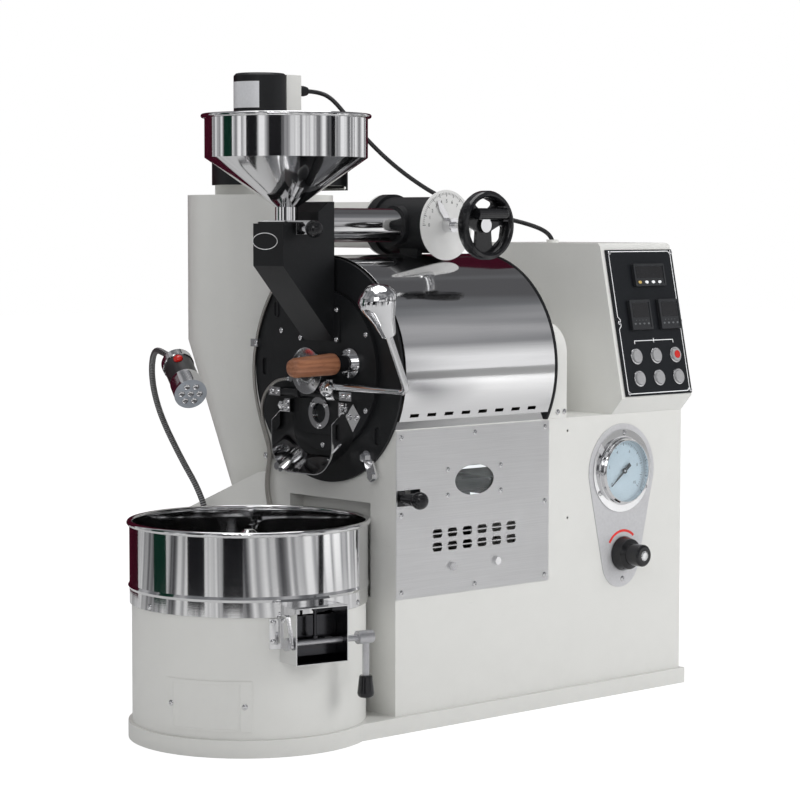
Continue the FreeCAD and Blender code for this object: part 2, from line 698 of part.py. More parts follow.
def roasting_drum():
    length = DRUM_END - DRUM_START
    shell = ring(DRUM_R, DRUM_R - DRUM_WALL, on_axis(DRUM_START), X, length)
    pieces = [shell]
    inside = DRUM_R - DRUM_WALL / 2
    for x in (SPIDER_X, DRUM_END - SPIDER_THICK):
        for i in range(3):
            arm = block((x, x + SPIDER_THICK), (-SPIDER_ARM / 2, SPIDER_ARM / 2), (0, inside))
            arm.Placement = Placement(DRUM_AXIS, Rotation(X, 60 + 120 * i))
            pieces.append(arm)
        pieces.append(rod(HUB_R, on_axis(x - SPIDER_THICK), X, 2 * SPIDER_THICK))
    for i in range(VANE_COUNT):
        vane = block((DRUM_START + 8, DRUM_END - 8), (-1.5, 1.5), (inside - VANE_DEPTH, inside))
        vane.Placement = Placement(DRUM_AXIS, Rotation(X, 360 * i / VANE_COUNT))
        pieces.append(vane)
    back = ring(inside, SHAFT_R - 1, on_axis(DRUM_END - 2), X, 2)
    pieces.append(back)
    shaft_start = INNER_FACE - BEARING_REACH + BEARING_CAP_THICK + 2
    pieces.append(rod(SHAFT_R, on_axis(shaft_start), X, BOX_FRONT + 46 - shaft_start))
    save("roasting_drum", join(*pieces))


def drum_cover():
    """Polished half cylinder that stands on the cabinet by a short skirt."""
    foot = CAB_TOP + COVER_SKIRT
    start = CAB_FRONT
    hoop = ring(COVER_R, COVER_R - SHEET, on_axis(start), X, COVER_END - start)
    hoop = hoop.common(block((start, COVER_END), (-COVER_R, COVER_R), (foot, DRUM_Z + COVER_R)))
    edge = math.sqrt(COVER_R ** 2 - (DRUM_Z - foot) ** 2)
    pieces = [hoop]
    tools = []
    for side in (-1, 1):
        flange = sorted((side * (CAB_HALF - SHEET), side * (edge - 0.5)))
        pieces.append(block((start, COVER_END), flange, (foot, foot + SHEET)))
        strip = sorted((side * CAB_HALF, side * (CAB_HALF - SHEET)))
        pieces.append(block((start, COVER_END), strip, (CAB_TOP, foot + SHEET)))
        slot_low = foot + SLOT_RISE
        for i in range(COVER_SLOTS):
            x = SLOT_START + SLOT_PITCH * i
            across = sorted((side * (edge - 2 * SHEET), side * (COVER_R + SHEET)))
            tools.append(block((x, x + SLOT_LENGTH), across, (slot_low, slot_low + SLOT_HEIGHT)))
    save("drum_cover", cut(join(*pieces), *tools))


def rear_housing():
    """Black end plate of the drum space, the housing behind it and the guard over the shaft."""
    plate = rod(COVER_R + 1.5, on_axis(COVER_END), X, END_PLATE)
    plate = plate.common(block((COVER_END, COVER_END + END_PLATE), (-COVER_R - 2, COVER_R + 2),
                               (CAB_TOP, DRUM_Z + COVER_R + 2)))
    plate = plate.cut(rod(SHAFT_R + 1, on_axis(COVER_END), X, END_PLATE))
    start = COVER_END + END_PLATE

    def arch(inset, x0, x1, low):
        corners = [Vector(x0, inset - CAB_HALF, low), Vector(x0, inset - CAB_HALF, HOUSING_TOP - inset),
                   Vector(x0, CAB_HALF - inset, HOUSING_TOP - inset), Vector(x0, CAB_HALF - inset, low)]
        bend = HOUSING_CORNER - inset
        return slab(corners, [0, bend, bend, 0], X * (x1 - x0))

    hollow = arch(SHEET, start, HOUSING_END - SHEET, CAB_TOP - 1)
    housing = arch(0, start, HOUSING_END, CAB_TOP).cut(hollow)
    guard = ring(GUARD_R, GUARD_R - SHEET, on_axis(HOUSING_END), X, BOX_FRONT - HOUSING_END)
    shaft_way = rod(SHAFT_R + 3, on_axis(HOUSING_END - 2 * SHEET), X, 3 * SHEET)
    save("rear_housing", plate, join(housing, guard).cut(shaft_way))


def gearmotors():
    """Drum bearing, drum gearmotor in the control box, and the stirrer's below the tray."""
    start = COVER_END + END_PLATE
    bearing = join(block((start, start + 20), (-34, 34), (DRUM_Z - 30, DRUM_Z + 30)),
                   rod(26, on_axis(start), X, 26))
    bearing = bearing.cut(rod(SHAFT_R + RUN, on_axis(start), X, 26))
    box_inside = BOX_FRONT + SHEET
    case = join(block((box_inside + 8, box_inside + 78), (-48, 48), (DRUM_Z - 48, DRUM_Z + 48)),
                rod(30, on_axis(box_inside), X, 10),
                rod(36, Vector(box_inside + 43, 0, CAB_TOP), Z, DRUM_Z - 48 - CAB_TOP + 1))
    case = case.cut(rod(SHAFT_R + RUN, on_axis(box_inside), X, 46))
    top = FLOOR_Z
    stirrer_case = join(rod(TRAY_MOTOR_R, Z * (PLINTH_TOP + 70), Z, top - PLINTH_TOP - 70),
                        rod(TRAY_MOTOR_R - 12, Z * PLINTH_TOP, Z, 71))
    foot = rod(TRAY_R - 50, Z * PLINTH_TOP, Z, 3)
    stirrer_case = join(stirrer_case, foot).cut(rod(STIRRER_SHAFT_R + RUN, Z * (top - 30), Z, 31))
    save("gearmotors", bearing, case, stirrer_case)


# ---------------------------------------------------------------- front plates and their fittings

def feed_opening(x, reach):
    return block((x, x + reach), (CHUTE_NEAR + 6, CHUTE_FAR - 6), (CHUTE_FOOT + 14, CHUTE_FOOT + 72))


def drop_opening(x, reach):
    return block((x, x + reach), (9 - DOOR_HALF, DOOR_HALF - 9), (DOOR_LOW + 8, HINGE_Z - 4))


def plate_holes(x, reach):
    """Everything that passes both front plates."""
    return [rod(SHAFT_R + 1.5, on_axis(x), X, reach),
            rod(TRYER_R + 1, Vector(x, TRYER_Y, TRYER_Z), X, reach),
            feed_opening(x, reach), drop_opening(x, reach)]


def oval(at, half, high, x, reach):
    """Upright oval prism that starts at x and runs along +X."""
    signs = ((-1, -1), (1, -1), (1, 1), (-1, 1))
    corners = [Vector(x, at[0] + a * half, at[1] + b * high) for a, b in signs]
    return slab(corners, 0.98 * half, X * reach)


def front_plates():
    disc = rod(PLATE_R, on_axis(PLATE_FACE), X, PLATE_THICK)
    plugs = [oval(at, PLUG_HALF, PLUG_HIGH, PLATE_FACE - 1, PLUG_DEPTH + 1) for at in PLUGS]
    rim = oval(RIM_AT, PLUG_HALF, PLUG_HIGH, PLATE_FACE - RIM_PROUD, RIM_PROUD)
    rim = rim.cut(oval(RIM_AT, PLUG_HALF - 2, PLUG_HIGH - 2, PLATE_FACE - RIM_PROUD, RIM_PROUD))
    outer = join(cut(disc, *plate_holes(PLATE_FACE - 1, PLATE_THICK + 2), *plugs), rim)
    inner = rod(INNER_R, on_axis(INNER_FACE), X, INNER_THICK)
    save("front_plate", outer, cut(inner, *plate_holes(INNER_FACE - 1, INNER_THICK + 2)))


def bearing_housing():
    start = INNER_FACE - BEARING_REACH
    body = rod(BEARING_R, on_axis(start + BEARING_CAP_THICK), X, BEARING_REACH - BEARING_CAP_THICK)
    cap = rod(BEARING_CAP_R, on_axis(start), X, BEARING_CAP_THICK)
    bore = rod(SHAFT_R + RUN, on_axis(start + BEARING_CAP_THICK), X, BEARING_REACH)
    slots = []
    for i in range(4):
        slot = block((start - 1, start + 2), (-4.5, 4.5), (22, 27))
        slot.Placement = Placement(DRUM_AXIS, Rotation(X, 45 + 90 * i))
        slots.append(slot)
    groove = ring(18, 16.5, on_axis(start - 1), X, 2)
    save("bearing_housing", cut(join(body, cap), bore, groove, *slots))


def hinge_block(side):
    """Bearing block of the discharge door, screwed to the plate through its face."""
    span = sorted((side * BLOCK_NEAR, side * (BLOCK_NEAR + BLOCK_WIDTH)))
    body = block((HINGE_X - BLOCK_HALF, INNER_FACE), span, (HINGE_Z - BLOCK_HALF, HINGE_Z + BLOCK_HALF))
    mouth = Vector(HINGE_X, side * (BLOCK_NEAR - 1), HINGE_Z)
    return body.cut(rod(HINGE_PIN_R + RUN, mouth, Y * side, PIN_DEPTH + 1))


def tryer_guide():
    """Flange and boss that the sampling spoon slides through."""
    flange = Vector(INNER_FACE - TRYER_FLANGE, TRYER_Y, TRYER_Z)
    boss = flange - X * TRYER_BOSS
    guide = join(rod(TRYER_FLANGE_R, flange, X, TRYER_FLANGE), rod(TRYER_BOSS_R, boss, X, TRYER_BOSS))
    return guide.cut(rod(TRYER_R + RUN, boss, X, TRYER_BOSS + TRYER_FLANGE))


def strap_point(side, offset, x):
    """Point of a strap, given from where it crosses the plate's edge."""
    y, z = around(0, DRUM_Z, PLATE_R, STRAP_TURN)
    return Vector(x, side * (y + offset[0]), z + offset[1])


def plate_strap(side):
    """Strap that holds the front plate to the cabinet: one end on the plate, one on a spacer."""
    corners = [strap_point(side, offset, PLATE_FACE - STRAP_THICK) for offset in STRAP_OUTLINE]
    strap = slab(corners, STRAP_BEND, X * STRAP_THICK)
    return join(strap, rod(5, strap_point(side, STRAP_BOLTS[1], PLATE_FACE), X, PLATE_THICK))


def elbow_gland(route, at_start, wall_x):
    """Sleeve that a cable leaves face to face, on a post that stands on a plate."""
    points = [Vector(*point) for point in (route if at_start else route[::-1])]
    inward = (points[0] - points[1]).normalize()
    root = points[0] + inward * GLAND_SLEEVE
    start = root.x - GLAND_POST_R
    post = rod(GLAND_POST_R, Vector(start, root.y, root.z), X, wall_x - start)
    return join(rod(GLAND_R, points[0], inward, GLAND_SLEEVE), post)


def cable_room(route):
    """The room that a probe cable takes in the clips that it lies in."""
    path, _ = path_wire(route)
    start = Vector(*route[0])
    section = Part.Wire(Part.makeCircle(PROBE_CABLE_R + 2 * RUN, start, Vector(*route[1]) - start))
    return path.makePipeShell([section], True, False)


def scoop_bracket(side):
    """Angle that the scoop's cheek is bolted to."""
    span = sorted((side * (SCOOP_HALF - SHEET), side * (SCOOP_HALF - SHEET - BRACKET_WIDTH)))
    return block((INNER_FACE - BRACKET_DEPTH, INNER_FACE), span, BRACKET_Z)


def front_fittings():
    """Chrome fittings on the plates: tryer guide, hinge blocks, straps, clips and cable glands."""
    pieces = [tryer_guide()]
    for part in (hinge_block, plate_strap, scoop_bracket):
        pieces.extend(part(side) for side in (-1, 1))
    near_room, rim_room = cable_room(PROBE_CABLE), cable_room(RIM_CABLE)
    pieces.append(block((PLATE_FACE - CLIP_THICK, PLATE_FACE), RIM_CLIP_Y, RIM_CLIP_Z).cut(rim_room))
    pieces.append(cut(block((CLIP_FACE, CAB_FRONT), CLIP_Y, CLIP_Z), near_room, rim_room))
    pieces.append(elbow_gland(PROBE_CABLE, True, INNER_FACE))
    pieces.extend(elbow_gland(route, False, CAB_FRONT) for route in (PROBE_CABLE, RIM_CABLE))
    start = Vector(*RIM_CABLE[0])
    pieces.append(rod(GLAND_R + 2, Vector(start.x, CHUTE_FAR, start.z), Y, start.y - CHUTE_FAR))
    save("front_fittings", *pieces)


def discharge_scoop():
    """U-shaped trough below the door; its floor falls towards the tray."""
    def section(x, inset, low):
        half = SCOOP_HALF - inset
        return [Vector(x, half, SCOOP_TOP + 1), Vector(x, half, low + inset),
                Vector(x, -half, low + inset), Vector(x, -half, SCOOP_TOP + 1)]

    def trough(inset, front, back):
        bend = SCOOP_CORNER - inset
        radii = [0, bend, bend, 0]
        lip = rounded_wire(section(front, inset, SCOOP_LOW), radii)
        root = rounded_wire(section(back, inset, SCOOP_LOW + SCOOP_SLOPE), radii)
        return Part.makeLoft([lip, root], True, True)

    body = trough(0, SCOOP_FRONT, INNER_FACE).cut(trough(SHEET, SCOOP_FRONT, INNER_FACE))
    bevel_x = SCOOP_FRONT + SCOOP_BEVEL
    outline = ((SCOOP_FRONT - 1, SCOOP_TOP + 2), (bevel_x + 1, SCOOP_TOP + 2), (bevel_x, SCOOP_TOP),
               (SCOOP_FRONT, SCOOP_SHOULDER), (SCOOP_FRONT - 1, SCOOP_SHOULDER))
    bevel = slab([Vector(x, -SCOOP_HALF - 1, z) for x, z in outline], 0, Y * 2 * (SCOOP_HALF + 1))
    top = block((bevel_x, INNER_FACE + 1), (-SCOOP_HALF - 1, SCOOP_HALF + 1), (SCOOP_TOP, SCOOP_TOP + 2))
    body = cut(body, bevel, top)
    ears = []
    for side in (-1, 1):
        low, high = sorted((side * SCOOP_HALF, side * (SCOOP_HALF - SHEET)))
        ears.append(rod(EAR_R, Vector(EAR_AT[0], low, EAR_AT[1]), Y, high - low))
        step = block((INNER_FACE - CHEEK_STEP, INNER_FACE), (low, high), (SCOOP_TOP - SHEET, FLANGE_Z[2]))
        ears.append(step)
        ears.append(scoop_flange(side))
    save("discharge_scoop", join(body, *ears))


def scoop_flange(side):
    """Three-cornered flange of a cheek, which a screw holds to the plate."""
    root = side * (SCOOP_HALF - SHEET)
    corners = [Vector(INNER_FACE, root, FLANGE_Z[0]), Vector(INNER_FACE, root, FLANGE_Z[2]),
               Vector(INNER_FACE, side * (SCOOP_HALF + FLANGE_OUT), FLANGE_Z[1])]
    return slab(corners, 0, -X * SHEET)


# ---------------------------------------------------------------- tryer and discharge door

def tryer():
    """Half-open tube that samples the beans; its sleeve and wooden grip are one piece outside."""
    boss_face = INNER_FACE - TRYER_FLANGE - TRYER_BOSS
    start = boss_face - PLAY
    tip = CAB_FRONT + TRYER_REACH
    tube = rod(TRYER_R, Vector(start, TRYER_Y, TRYER_Z), X, tip - start)
    hollow = rod(TRYER_R - SHEET, Vector(CAB_FRONT + 8, TRYER_Y, TRYER_Z), X, TRYER_REACH - 12)
    mouth = block((CAB_FRONT + 8, tip - 4), (TRYER_Y - 15, TRYER_Y + 15), (TRYER_Z, TRYER_Z + 15))
    save("tryer", cut(tube, hollow, mouth))
    sleeve_end = start - SLEEVE_LENGTH
    sleeve = rod(SLEEVE_R, Vector(sleeve_end, TRYER_Y, TRYER_Z), X, SLEEVE_LENGTH)
    droop = math.radians(GRIP_DROOP)
    outward = Vector(-math.cos(droop), 0, -math.sin(droop))
    near_end, bulge, length = GRIP_R - 3, GRIP_R, GRIP_LENGTH
    grip = lathe([(-1, 0), (-1, near_end), (0, near_end), (3, bulge - 0.5), (9, bulge), (24, bulge - 0.6),
                  (0.6 * length, bulge - 1), (length - 10, GRIP_END_R), (length - 4, GRIP_END_R - 2.5),
                  (length - 1, GRIP_END_R - 6.5), (length, GRIP_END_R - 10), (length, 0)],
                 Vector(sleeve_end, TRYER_Y, TRYER_Z), outward)
    sleeve_side = block((sleeve_end, start), (TRYER_Y - 20, TRYER_Y + 20), (TRYER_Z - 20, TRYER_Z + 20))
    save("tryer_handle", sleeve, grip.cut(sleeve_side))


def discharge_door():
    """Black door with its hinge shaft, and the glass in its sight hole."""
    back = INNER_FACE - DOOR_GAP
    front = back - DOOR_THICK
    high = HINGE_Z - 1.5
    corners = [Vector(front, y, z) for y, z in
               ((-DOOR_HALF, DOOR_LOW), (DOOR_HALF, DOOR_LOW), (DOOR_HALF, high), (-DOOR_HALF, high))]
    pieces = [slab(corners, [12, 12, 0, 0], X * DOOR_THICK)]
    for side in (-1, 1):
        low, high_y = sorted((side * LUG_Y[0], side * LUG_Y[1]))
        pieces.append(block((HINGE_X, back - 1), (low, high_y), (HINGE_Z - LUG_R, high)))
        pieces.append(rod(LUG_R, Vector(HINGE_X, low, HINGE_Z), Y, high_y - low))
    near = BLOCK_NEAR - PLAY
    pieces.append(rod(HINGE_SHAFT_R, Vector(HINGE_X, -near, HINGE_Z), Y, 2 * near))
    far = BLOCK_NEAR + PIN_DEPTH - PLAY
    pieces.append(rod(HINGE_PIN_R, Vector(HINGE_X, -far, HINGE_Z), Y, 2 * far))
    seat = rod(SIGHT_GLASS_R + 2, Vector(front - 1, 0, SIGHT_Z), X, GLASS_THICK + 1)
    view = rod(SIGHT_GLASS_R - 1, Vector(front - 1, 0, SIGHT_Z), X, DOOR_THICK + 2)
    save("discharge_door", cut(join(*pieces), seat, view))
    save("sight_glass", rod(SIGHT_GLASS_R + 1.9, Vector(front, 0, SIGHT_Z), X, GLASS_THICK))


def door_lever():
    """Sight ring, ball, bent rod and counterweight: the bright pieces that swing with the door."""
    front = INNER_FACE - DOOR_GAP - DOOR_THICK
    sight = ring(SIGHT_R, SIGHT_GLASS_R - 1, Vector(front - SIGHT_RING, 0, SIGHT_Z), X, SIGHT_RING)
    rod_x = HINGE_X - LEVER_FORE
    rod_z = HINGE_Z + LEVER_UP
    foot = Vector(rod_x, LEVER_Y, rod_z)
    weight = Vector(WEIGHT_X, LEVER_Y, WEIGHT_Z)
    up = (weight - foot).normalize()
    start, middle, end = corner(Vector(rod_x, 0, rod_z), foot, weight, LEVER_BEND)
    path = Part.Wire([Part.makeLine(Vector(rod_x, BALL_Y, rod_z), start),
                      Part.Arc(start, middle, end).toShape(),
                      Part.makeLine(end, weight - up * (0.4 * WEIGHT_LENGTH))])
    section = Part.Wire(Part.makeCircle(LEVER_R, Vector(rod_x, BALL_Y, rod_z), Y))
    bar = path.makePipeShell([section], True, False)
    ball = Part.makeSphere(BALL_R, Vector(rod_x - 4, BALL_Y, rod_z - 3.5))
    stem = rod(STEM_POST_R, Vector(rod_x, BALL_Y - 1, rod_z), Z, STEM_POST_TOP - rod_z)
    hub = rod(HINGE_SHAFT_R + 3, Vector(HINGE_X, BALL_Y - 9, HINGE_Z), Y, 18)
    shaft = rod(HINGE_SHAFT_R, Vector(HINGE_X, BALL_Y - 20, HINGE_Z), Y, 40)
    base = weight - up * (0.5 * WEIGHT_LENGTH)
    knob = lathe([(0, 0), (0, 10), (2, 11), (0.3 * WEIGHT_LENGTH, 0.58 * WEIGHT_R),
                  (0.6 * WEIGHT_LENGTH, 0.93 * WEIGHT_R), (0.7 * WEIGHT_LENGTH, WEIGHT_R),
                  (0.79 * WEIGHT_LENGTH, 0.97 * WEIGHT_R), (0.88 * WEIGHT_LENGTH, 0.8 * WEIGHT_R),
                  (0.95 * WEIGHT_LENGTH, 0.52 * WEIGHT_R), (WEIGHT_LENGTH, 0.2 * WEIGHT_R),
                  (WEIGHT_LENGTH, 0)], base, up)
    heads = [screw(Vector(front - SIGHT_RING, *around(0, SIGHT_Z, SIGHT_R - 4.5, degrees)), -X)
             for degrees in (40, 140, 270)]
    save("door_lever", join(bar, ball, stem, hub, knob).cut(shaft), sight, *heads)


# ---------------------------------------------------------------- chute, hopper and slide gate

def feed_chute():
    """Black box that leads beans from the gate into the drum and air from the drum to the pipe."""
    step = HOPPER_X + SPOUT_R + HEAD_STEP
    head_x = INNER_FACE - HEAD_LENGTH
    profile = ((CHUTE_FRONT, CHUTE_LIP), (INNER_FACE, CHUTE_FOOT), (INNER_FACE, CHUTE_HEAD),
               (head_x, CHUTE_HEAD), (step, CHUTE_HEAD - HEAD_STEP), (step, CHUTE_TOP),
               (CHUTE_FRONT, CHUTE_TOP))
    outer = slab([Vector(x, CHUTE_NEAR, z) for x, z in profile], 0, Y * CHUTE_WIDTH)
    t = SHEET
    room = ((CHUTE_FRONT + t, CHUTE_LIP + t), (INNER_FACE - t, CHUTE_FOOT + 3 * t),
            (INNER_FACE - t, CHUTE_HEAD - t), (head_x, CHUTE_HEAD - t),
            (step + t, CHUTE_HEAD - HEAD_STEP - t), (step + t, CHUTE_TOP - t),
            (CHUTE_FRONT + t, CHUTE_TOP - t))
    inner = slab([Vector(x, CHUTE_NEAR + t, z) for x, z in room], 0, Y * (CHUTE_WIDTH - 2 * t))
    shell = outer.cut(inner)
    spout = rod(SPOUT_R, Vector(HOPPER_X, CHUTE_Y, CHUTE_TOP - 2 * SHEET), Z, 3 * SHEET)
    feed = feed_opening(INNER_FACE - 2 * SHEET, 3 * SHEET)
    pipe = rod(PIPE_R - SHEET, Vector(INNER_FACE - 2 * SHEET, CHUTE_Y, PIPE_Z), X, 3 * SHEET)
    pieces = []
    for side in (-1, 1):
        edge = CHUTE_NEAR if side < 0 else CHUTE_FAR
        flange = sorted((edge, edge + side * CHUTE_EAR))
        pieces.append(block((INNER_FACE - 2, INNER_FACE), flange, (CHUTE_FOOT - 1, CHUTE_FOOT + 52)))
    rails = []
    rail_z = (CHUTE_TOP, CHUTE_TOP + GATE_THICK + PLAY)
    for side in (-1, 1):
        edge = HOPPER_X + side * (GATE_HALF + PLAY)
        rails.append(block(sorted((edge, edge + side * 8)), (CHUTE_NEAR, CHUTE_FAR), rail_z))
    save("feed_chute", join(cut(shell, spout, feed, pipe), *pieces, *rails))


def hopper():
    axis = Vector(HOPPER_X, CHUTE_Y, 0)
    seat = CHUTE_TOP + GATE_THICK + PLAY

    def lathe_shell():
        t = SHEET
        slope = (HOPPER_R - SPOUT_R) / (HOPPER_BOWL_Z - HOPPER_CONE_Z)
        shift = t * math.sqrt(1 + slope ** 2)
        profile = [(seat, SPOUT_R), (HOPPER_CONE_Z, SPOUT_R), (HOPPER_BOWL_Z, HOPPER_R),
                   (HOPPER_RIM_Z, HOPPER_R), (HOPPER_RIM_Z, HOPPER_R - t),
                   (HOPPER_BOWL_Z + shift / slope, HOPPER_R - t),
                   (HOPPER_CONE_Z + shift / slope, SPOUT_R - t), (seat, SPOUT_R - t)]
        return lathe(profile, axis, Z)

    bead_centre = axis + Z * (HOPPER_RIM_Z - HOPPER_BEAD)
    bead = Part.makeTorus(HOPPER_R + HOPPER_BEAD - 1, HOPPER_BEAD, bead_centre, Z)
    wide = GATE_HALF + PLAY + 8
    flange = block((HOPPER_X - wide, HOPPER_X + wide), (CHUTE_Y - 27, CHUTE_Y + 27), (seat, seat + 2))
    flange = flange.cut(rod(SPOUT_R - SHEET, axis + Z * (seat - 1), Z, 4))
    save("hopper", join(lathe_shell(), bead, flange))


def slide_gate():
    low = CHUTE_TOP + PLAY / 2
    near = CHUTE_NEAR - 9
    plate = block((HOPPER_X - GATE_HALF, HOPPER_X + GATE_HALF), (near, CHUTE_Y + SPOUT_R + 6),
                  (low, low + GATE_THICK))
    lip = block((HOPPER_X - GATE_HALF, HOPPER_X + GATE_HALF), (near, near + GATE_THICK),
                (low - 16, low + 1))
    knob_z = low - 8
    stem = rod(4, Vector(HOPPER_X, near - 8, knob_z), Y, 9)
    knob = Part.makeSphere(KNOB_R, Vector(HOPPER_X, near - 6 - KNOB_R, knob_z))
    save("slide_gate", join(plate, lip, stem, knob))


# ---------------------------------------------------------------- exhaust, damper and handwheel

def exhaust_pipe():
    length = DAMPER_X - DAMPER_R - COLLAR_REACH + SOCKET_DEPTH - INNER_FACE
    save("exhaust_pipe", ring(PIPE_R, PIPE_R - SHEET, Vector(INNER_FACE, CHUTE_Y, PIPE_Z), X, length))


def damper_body():
    """Cast body of the rotary damper: the pipe enters from the side, the duct leaves behind."""
    near = Vector(DAMPER_X, DAMPER_NEAR, PIPE_Z)
    length = DAMPER_FAR - DAMPER_NEAR
    body = rod(DAMPER_R, near, Y, length)
    flange = rod(DAMPER_FLANGE_R, Vector(DAMPER_X, DAMPER_FAR - DAMPER_FLANGE, PIPE_Z), Y, DAMPER_FLANGE)
    collar_start = Vector(DAMPER_X - DAMPER_R - COLLAR_REACH, CHUTE_Y, PIPE_Z)
    collar = rod(PIPE_R + 4, collar_start, X, 30)
    lug_x = (DAMPER_X - LUG_OFFSET - 10, DAMPER_X - LUG_OFFSET)
    lug = block(lug_x, (-20, 20), (DRUM_Z + COVER_R - LUG_SINK, PIPE_Z - PIPE_R))
    cover = rod(COVER_R, on_axis(lug_x[0] - 1), X, 12)
    body = join(body, flange, collar, lug.cut(cover))
    room = rod(DAMPER_R - DAMPER_WALL, near + Y * DAMPER_WALL, Y, length)
    socket = rod(PIPE_R, collar_start, X, SOCKET_DEPTH)
    port = rod(PIPE_R - SHEET, collar_start, X, 40)
    stem_hole = rod(STEM_R + RUN, near - Y, Y, DAMPER_WALL + 2)
    save("damper_body", cut(body, room, socket, port, stem_hole))


def dial_plate():
    back = Vector(DAMPER_X, DAMPER_NEAR, PIPE_Z)
    disc = ring(DIAL_R, STEM_R + 1, back, -Y, DIAL_THICK)
    save("dial_plate", disc)


def damper_flap():
    """Curved vane on its stem, with the pointer that moves over the dial."""
    inner = DAMPER_R - DAMPER_WALL
    near = DAMPER_NEAR + DAMPER_WALL + 1
    stem_start = WHEEL_Y + WHEEL_WEB
    stem = rod(STEM_R, Vector(DAMPER_X, stem_start, PIPE_Z), Y, near + VANE_WEB - stem_start)
    disc = rod(inner - 1, Vector(DAMPER_X, near, PIPE_Z), Y, 3)
    vane = ring(inner - 1, inner - 3.5, Vector(DAMPER_X, near, PIPE_Z), Y, VANE_LENGTH)
    keep = block((DAMPER_X - inner, DAMPER_X + inner), (near, near + VANE_LENGTH), (PIPE_Z + 4, PIPE_Z + inner))
    web = block((DAMPER_X - 2, DAMPER_X + 2), (near, near + VANE_WEB), (PIPE_Z, PIPE_Z + inner - 2))
    vane = join(vane.common(keep), disc, stem, web)
    face = DAMPER_NEAR - DIAL_THICK
    hub = rod(11, Vector(DAMPER_X, face - POINTER_HUB, PIPE_Z), Y, POINTER_HUB - HUB_GAP)
    leaf = slab([Vector(DAMPER_X + dx, face - 3, PIPE_Z + dz) for dx, dz in POINTER], 2, Y * 1.6)
    save("damper_flap", join(vane, hub, leaf))


def handwheel():
    centre = Vector(DAMPER_X, WHEEL_Y, PIPE_Z)
    rim_r = WHEEL_R - WHEEL_RIM
    rim = lathe([(-8, rim_r - 3), (-10, rim_r), (-9, rim_r + 4), (-5, WHEEL_R), (5, WHEEL_R), (9, rim_r + 4),
                 (10, rim_r), (8, rim_r - 3.5), (3, rim_r - 5), (-3, rim_r - 5)], centre, Y)
    web = rod(rim_r, centre + Y * (WHEEL_WEB - 2), Y, WHEEL_WEB)
    for angle in (90, 210, 330):
        spread = 34
        window = []
        for a, r in ((angle - spread, rim_r - 6), (angle, rim_r - 4.5), (angle + spread, rim_r - 6),
                     (angle, 17)):
            turn = math.radians(a)
            window.append(centre + Vector(r * math.cos(turn), 0, r * math.sin(turn)))
        web = web.cut(slab(window, [4, 8, 4, 4], Y * 20))
    hub = rod(11, centre - Y, Y, 17)
    bore = rod(STEM_R, centre + Y * WHEEL_WEB, Y, 20)
    pivot_x = DAMPER_X + 27
    grip_z = PIPE_Z + WHEEL_GRIP_RISE
    ears = []
    for side in (-1, 1):
        z = sorted((grip_z + side * (WHEEL_GRIP_R + PLAY), grip_z + side * (WHEEL_GRIP_R + PLAY + 2.5)))
        ears.append(block((pivot_x - 5, pivot_x + 5), (WHEEL_Y - 15, WHEEL_Y + WHEEL_WEB), z))
    pin = rod(2, Vector(pivot_x, WHEEL_Y - 10, grip_z - WHEEL_GRIP_R - 1), Z, 2 * WHEEL_GRIP_R + 2)
    save("handwheel", join(rim, web, hub, *ears, pin).cut(bore))
    start = Vector(pivot_x, WHEEL_Y - 10, grip_z)
    grip = rod(WHEEL_GRIP_R, start - X * (WHEEL_GRIP_LENGTH - 2), X, WHEEL_GRIP_LENGTH - 2)
    grip = grip.fuse(Part.makeSphere(WHEEL_GRIP_R, start))
    hole = rod(2 + RUN, start - Z * 20, Z, 40)
    save("wheel_grip", grip.removeSplitter().cut(hole))


# ---------------------------------------------------------------- cyclone, chaff box, blower

def cyclone_body():
    """Inlet duct, shell and cone, with the finder tube that leads to the blower."""
    axis = Vector(CYCLONE_X, CYCLONE_Y, 0)

    def bowl(inset, top):
        return lathe([(CYCLONE_END_Z, 0), (CYCLONE_END_Z, CYCLONE_END_R - inset),
                      (CYCLONE_CONE_Z, CYCLONE_R - inset), (top, CYCLONE_R - inset), (top, 0)], axis, Z)

    inside = bowl(SHEET, CYCLONE_TOP - SHEET)
    duct_start = Vector(DAMPER_X, DAMPER_FAR, PIPE_Z)
    reach = CYCLONE_Y - DAMPER_FAR
    duct = join(rod(DUCT_R, duct_start, Y, reach), rod(DAMPER_FLANGE_R, duct_start, Y, 3 * SHEET))
    duct = duct.cut([bowl(0, CYCLONE_TOP), rod(DUCT_R - SHEET, duct_start, Y, reach)])
    finder = ring(INLET_R, INLET_R - SHEET, axis + Z * (CYCLONE_TOP - FINDER_DEPTH), Z, FINDER_DEPTH - SHEET)
    bore = rod(DUCT_R - SHEET, duct_start, Y, reach)
    eye = rod(INLET_R - SHEET, axis + Z * (CYCLONE_TOP - 2 * SHEET), Z, 3 * SHEET)
    mouth = rod(CYCLONE_END_R - SHEET, axis + Z * (CYCLONE_END_Z - 1), Z, 3)
    save("cyclone_body", cut(bowl(0, CYCLONE_TOP), inside, bore, eye, mouth), duct, finder)


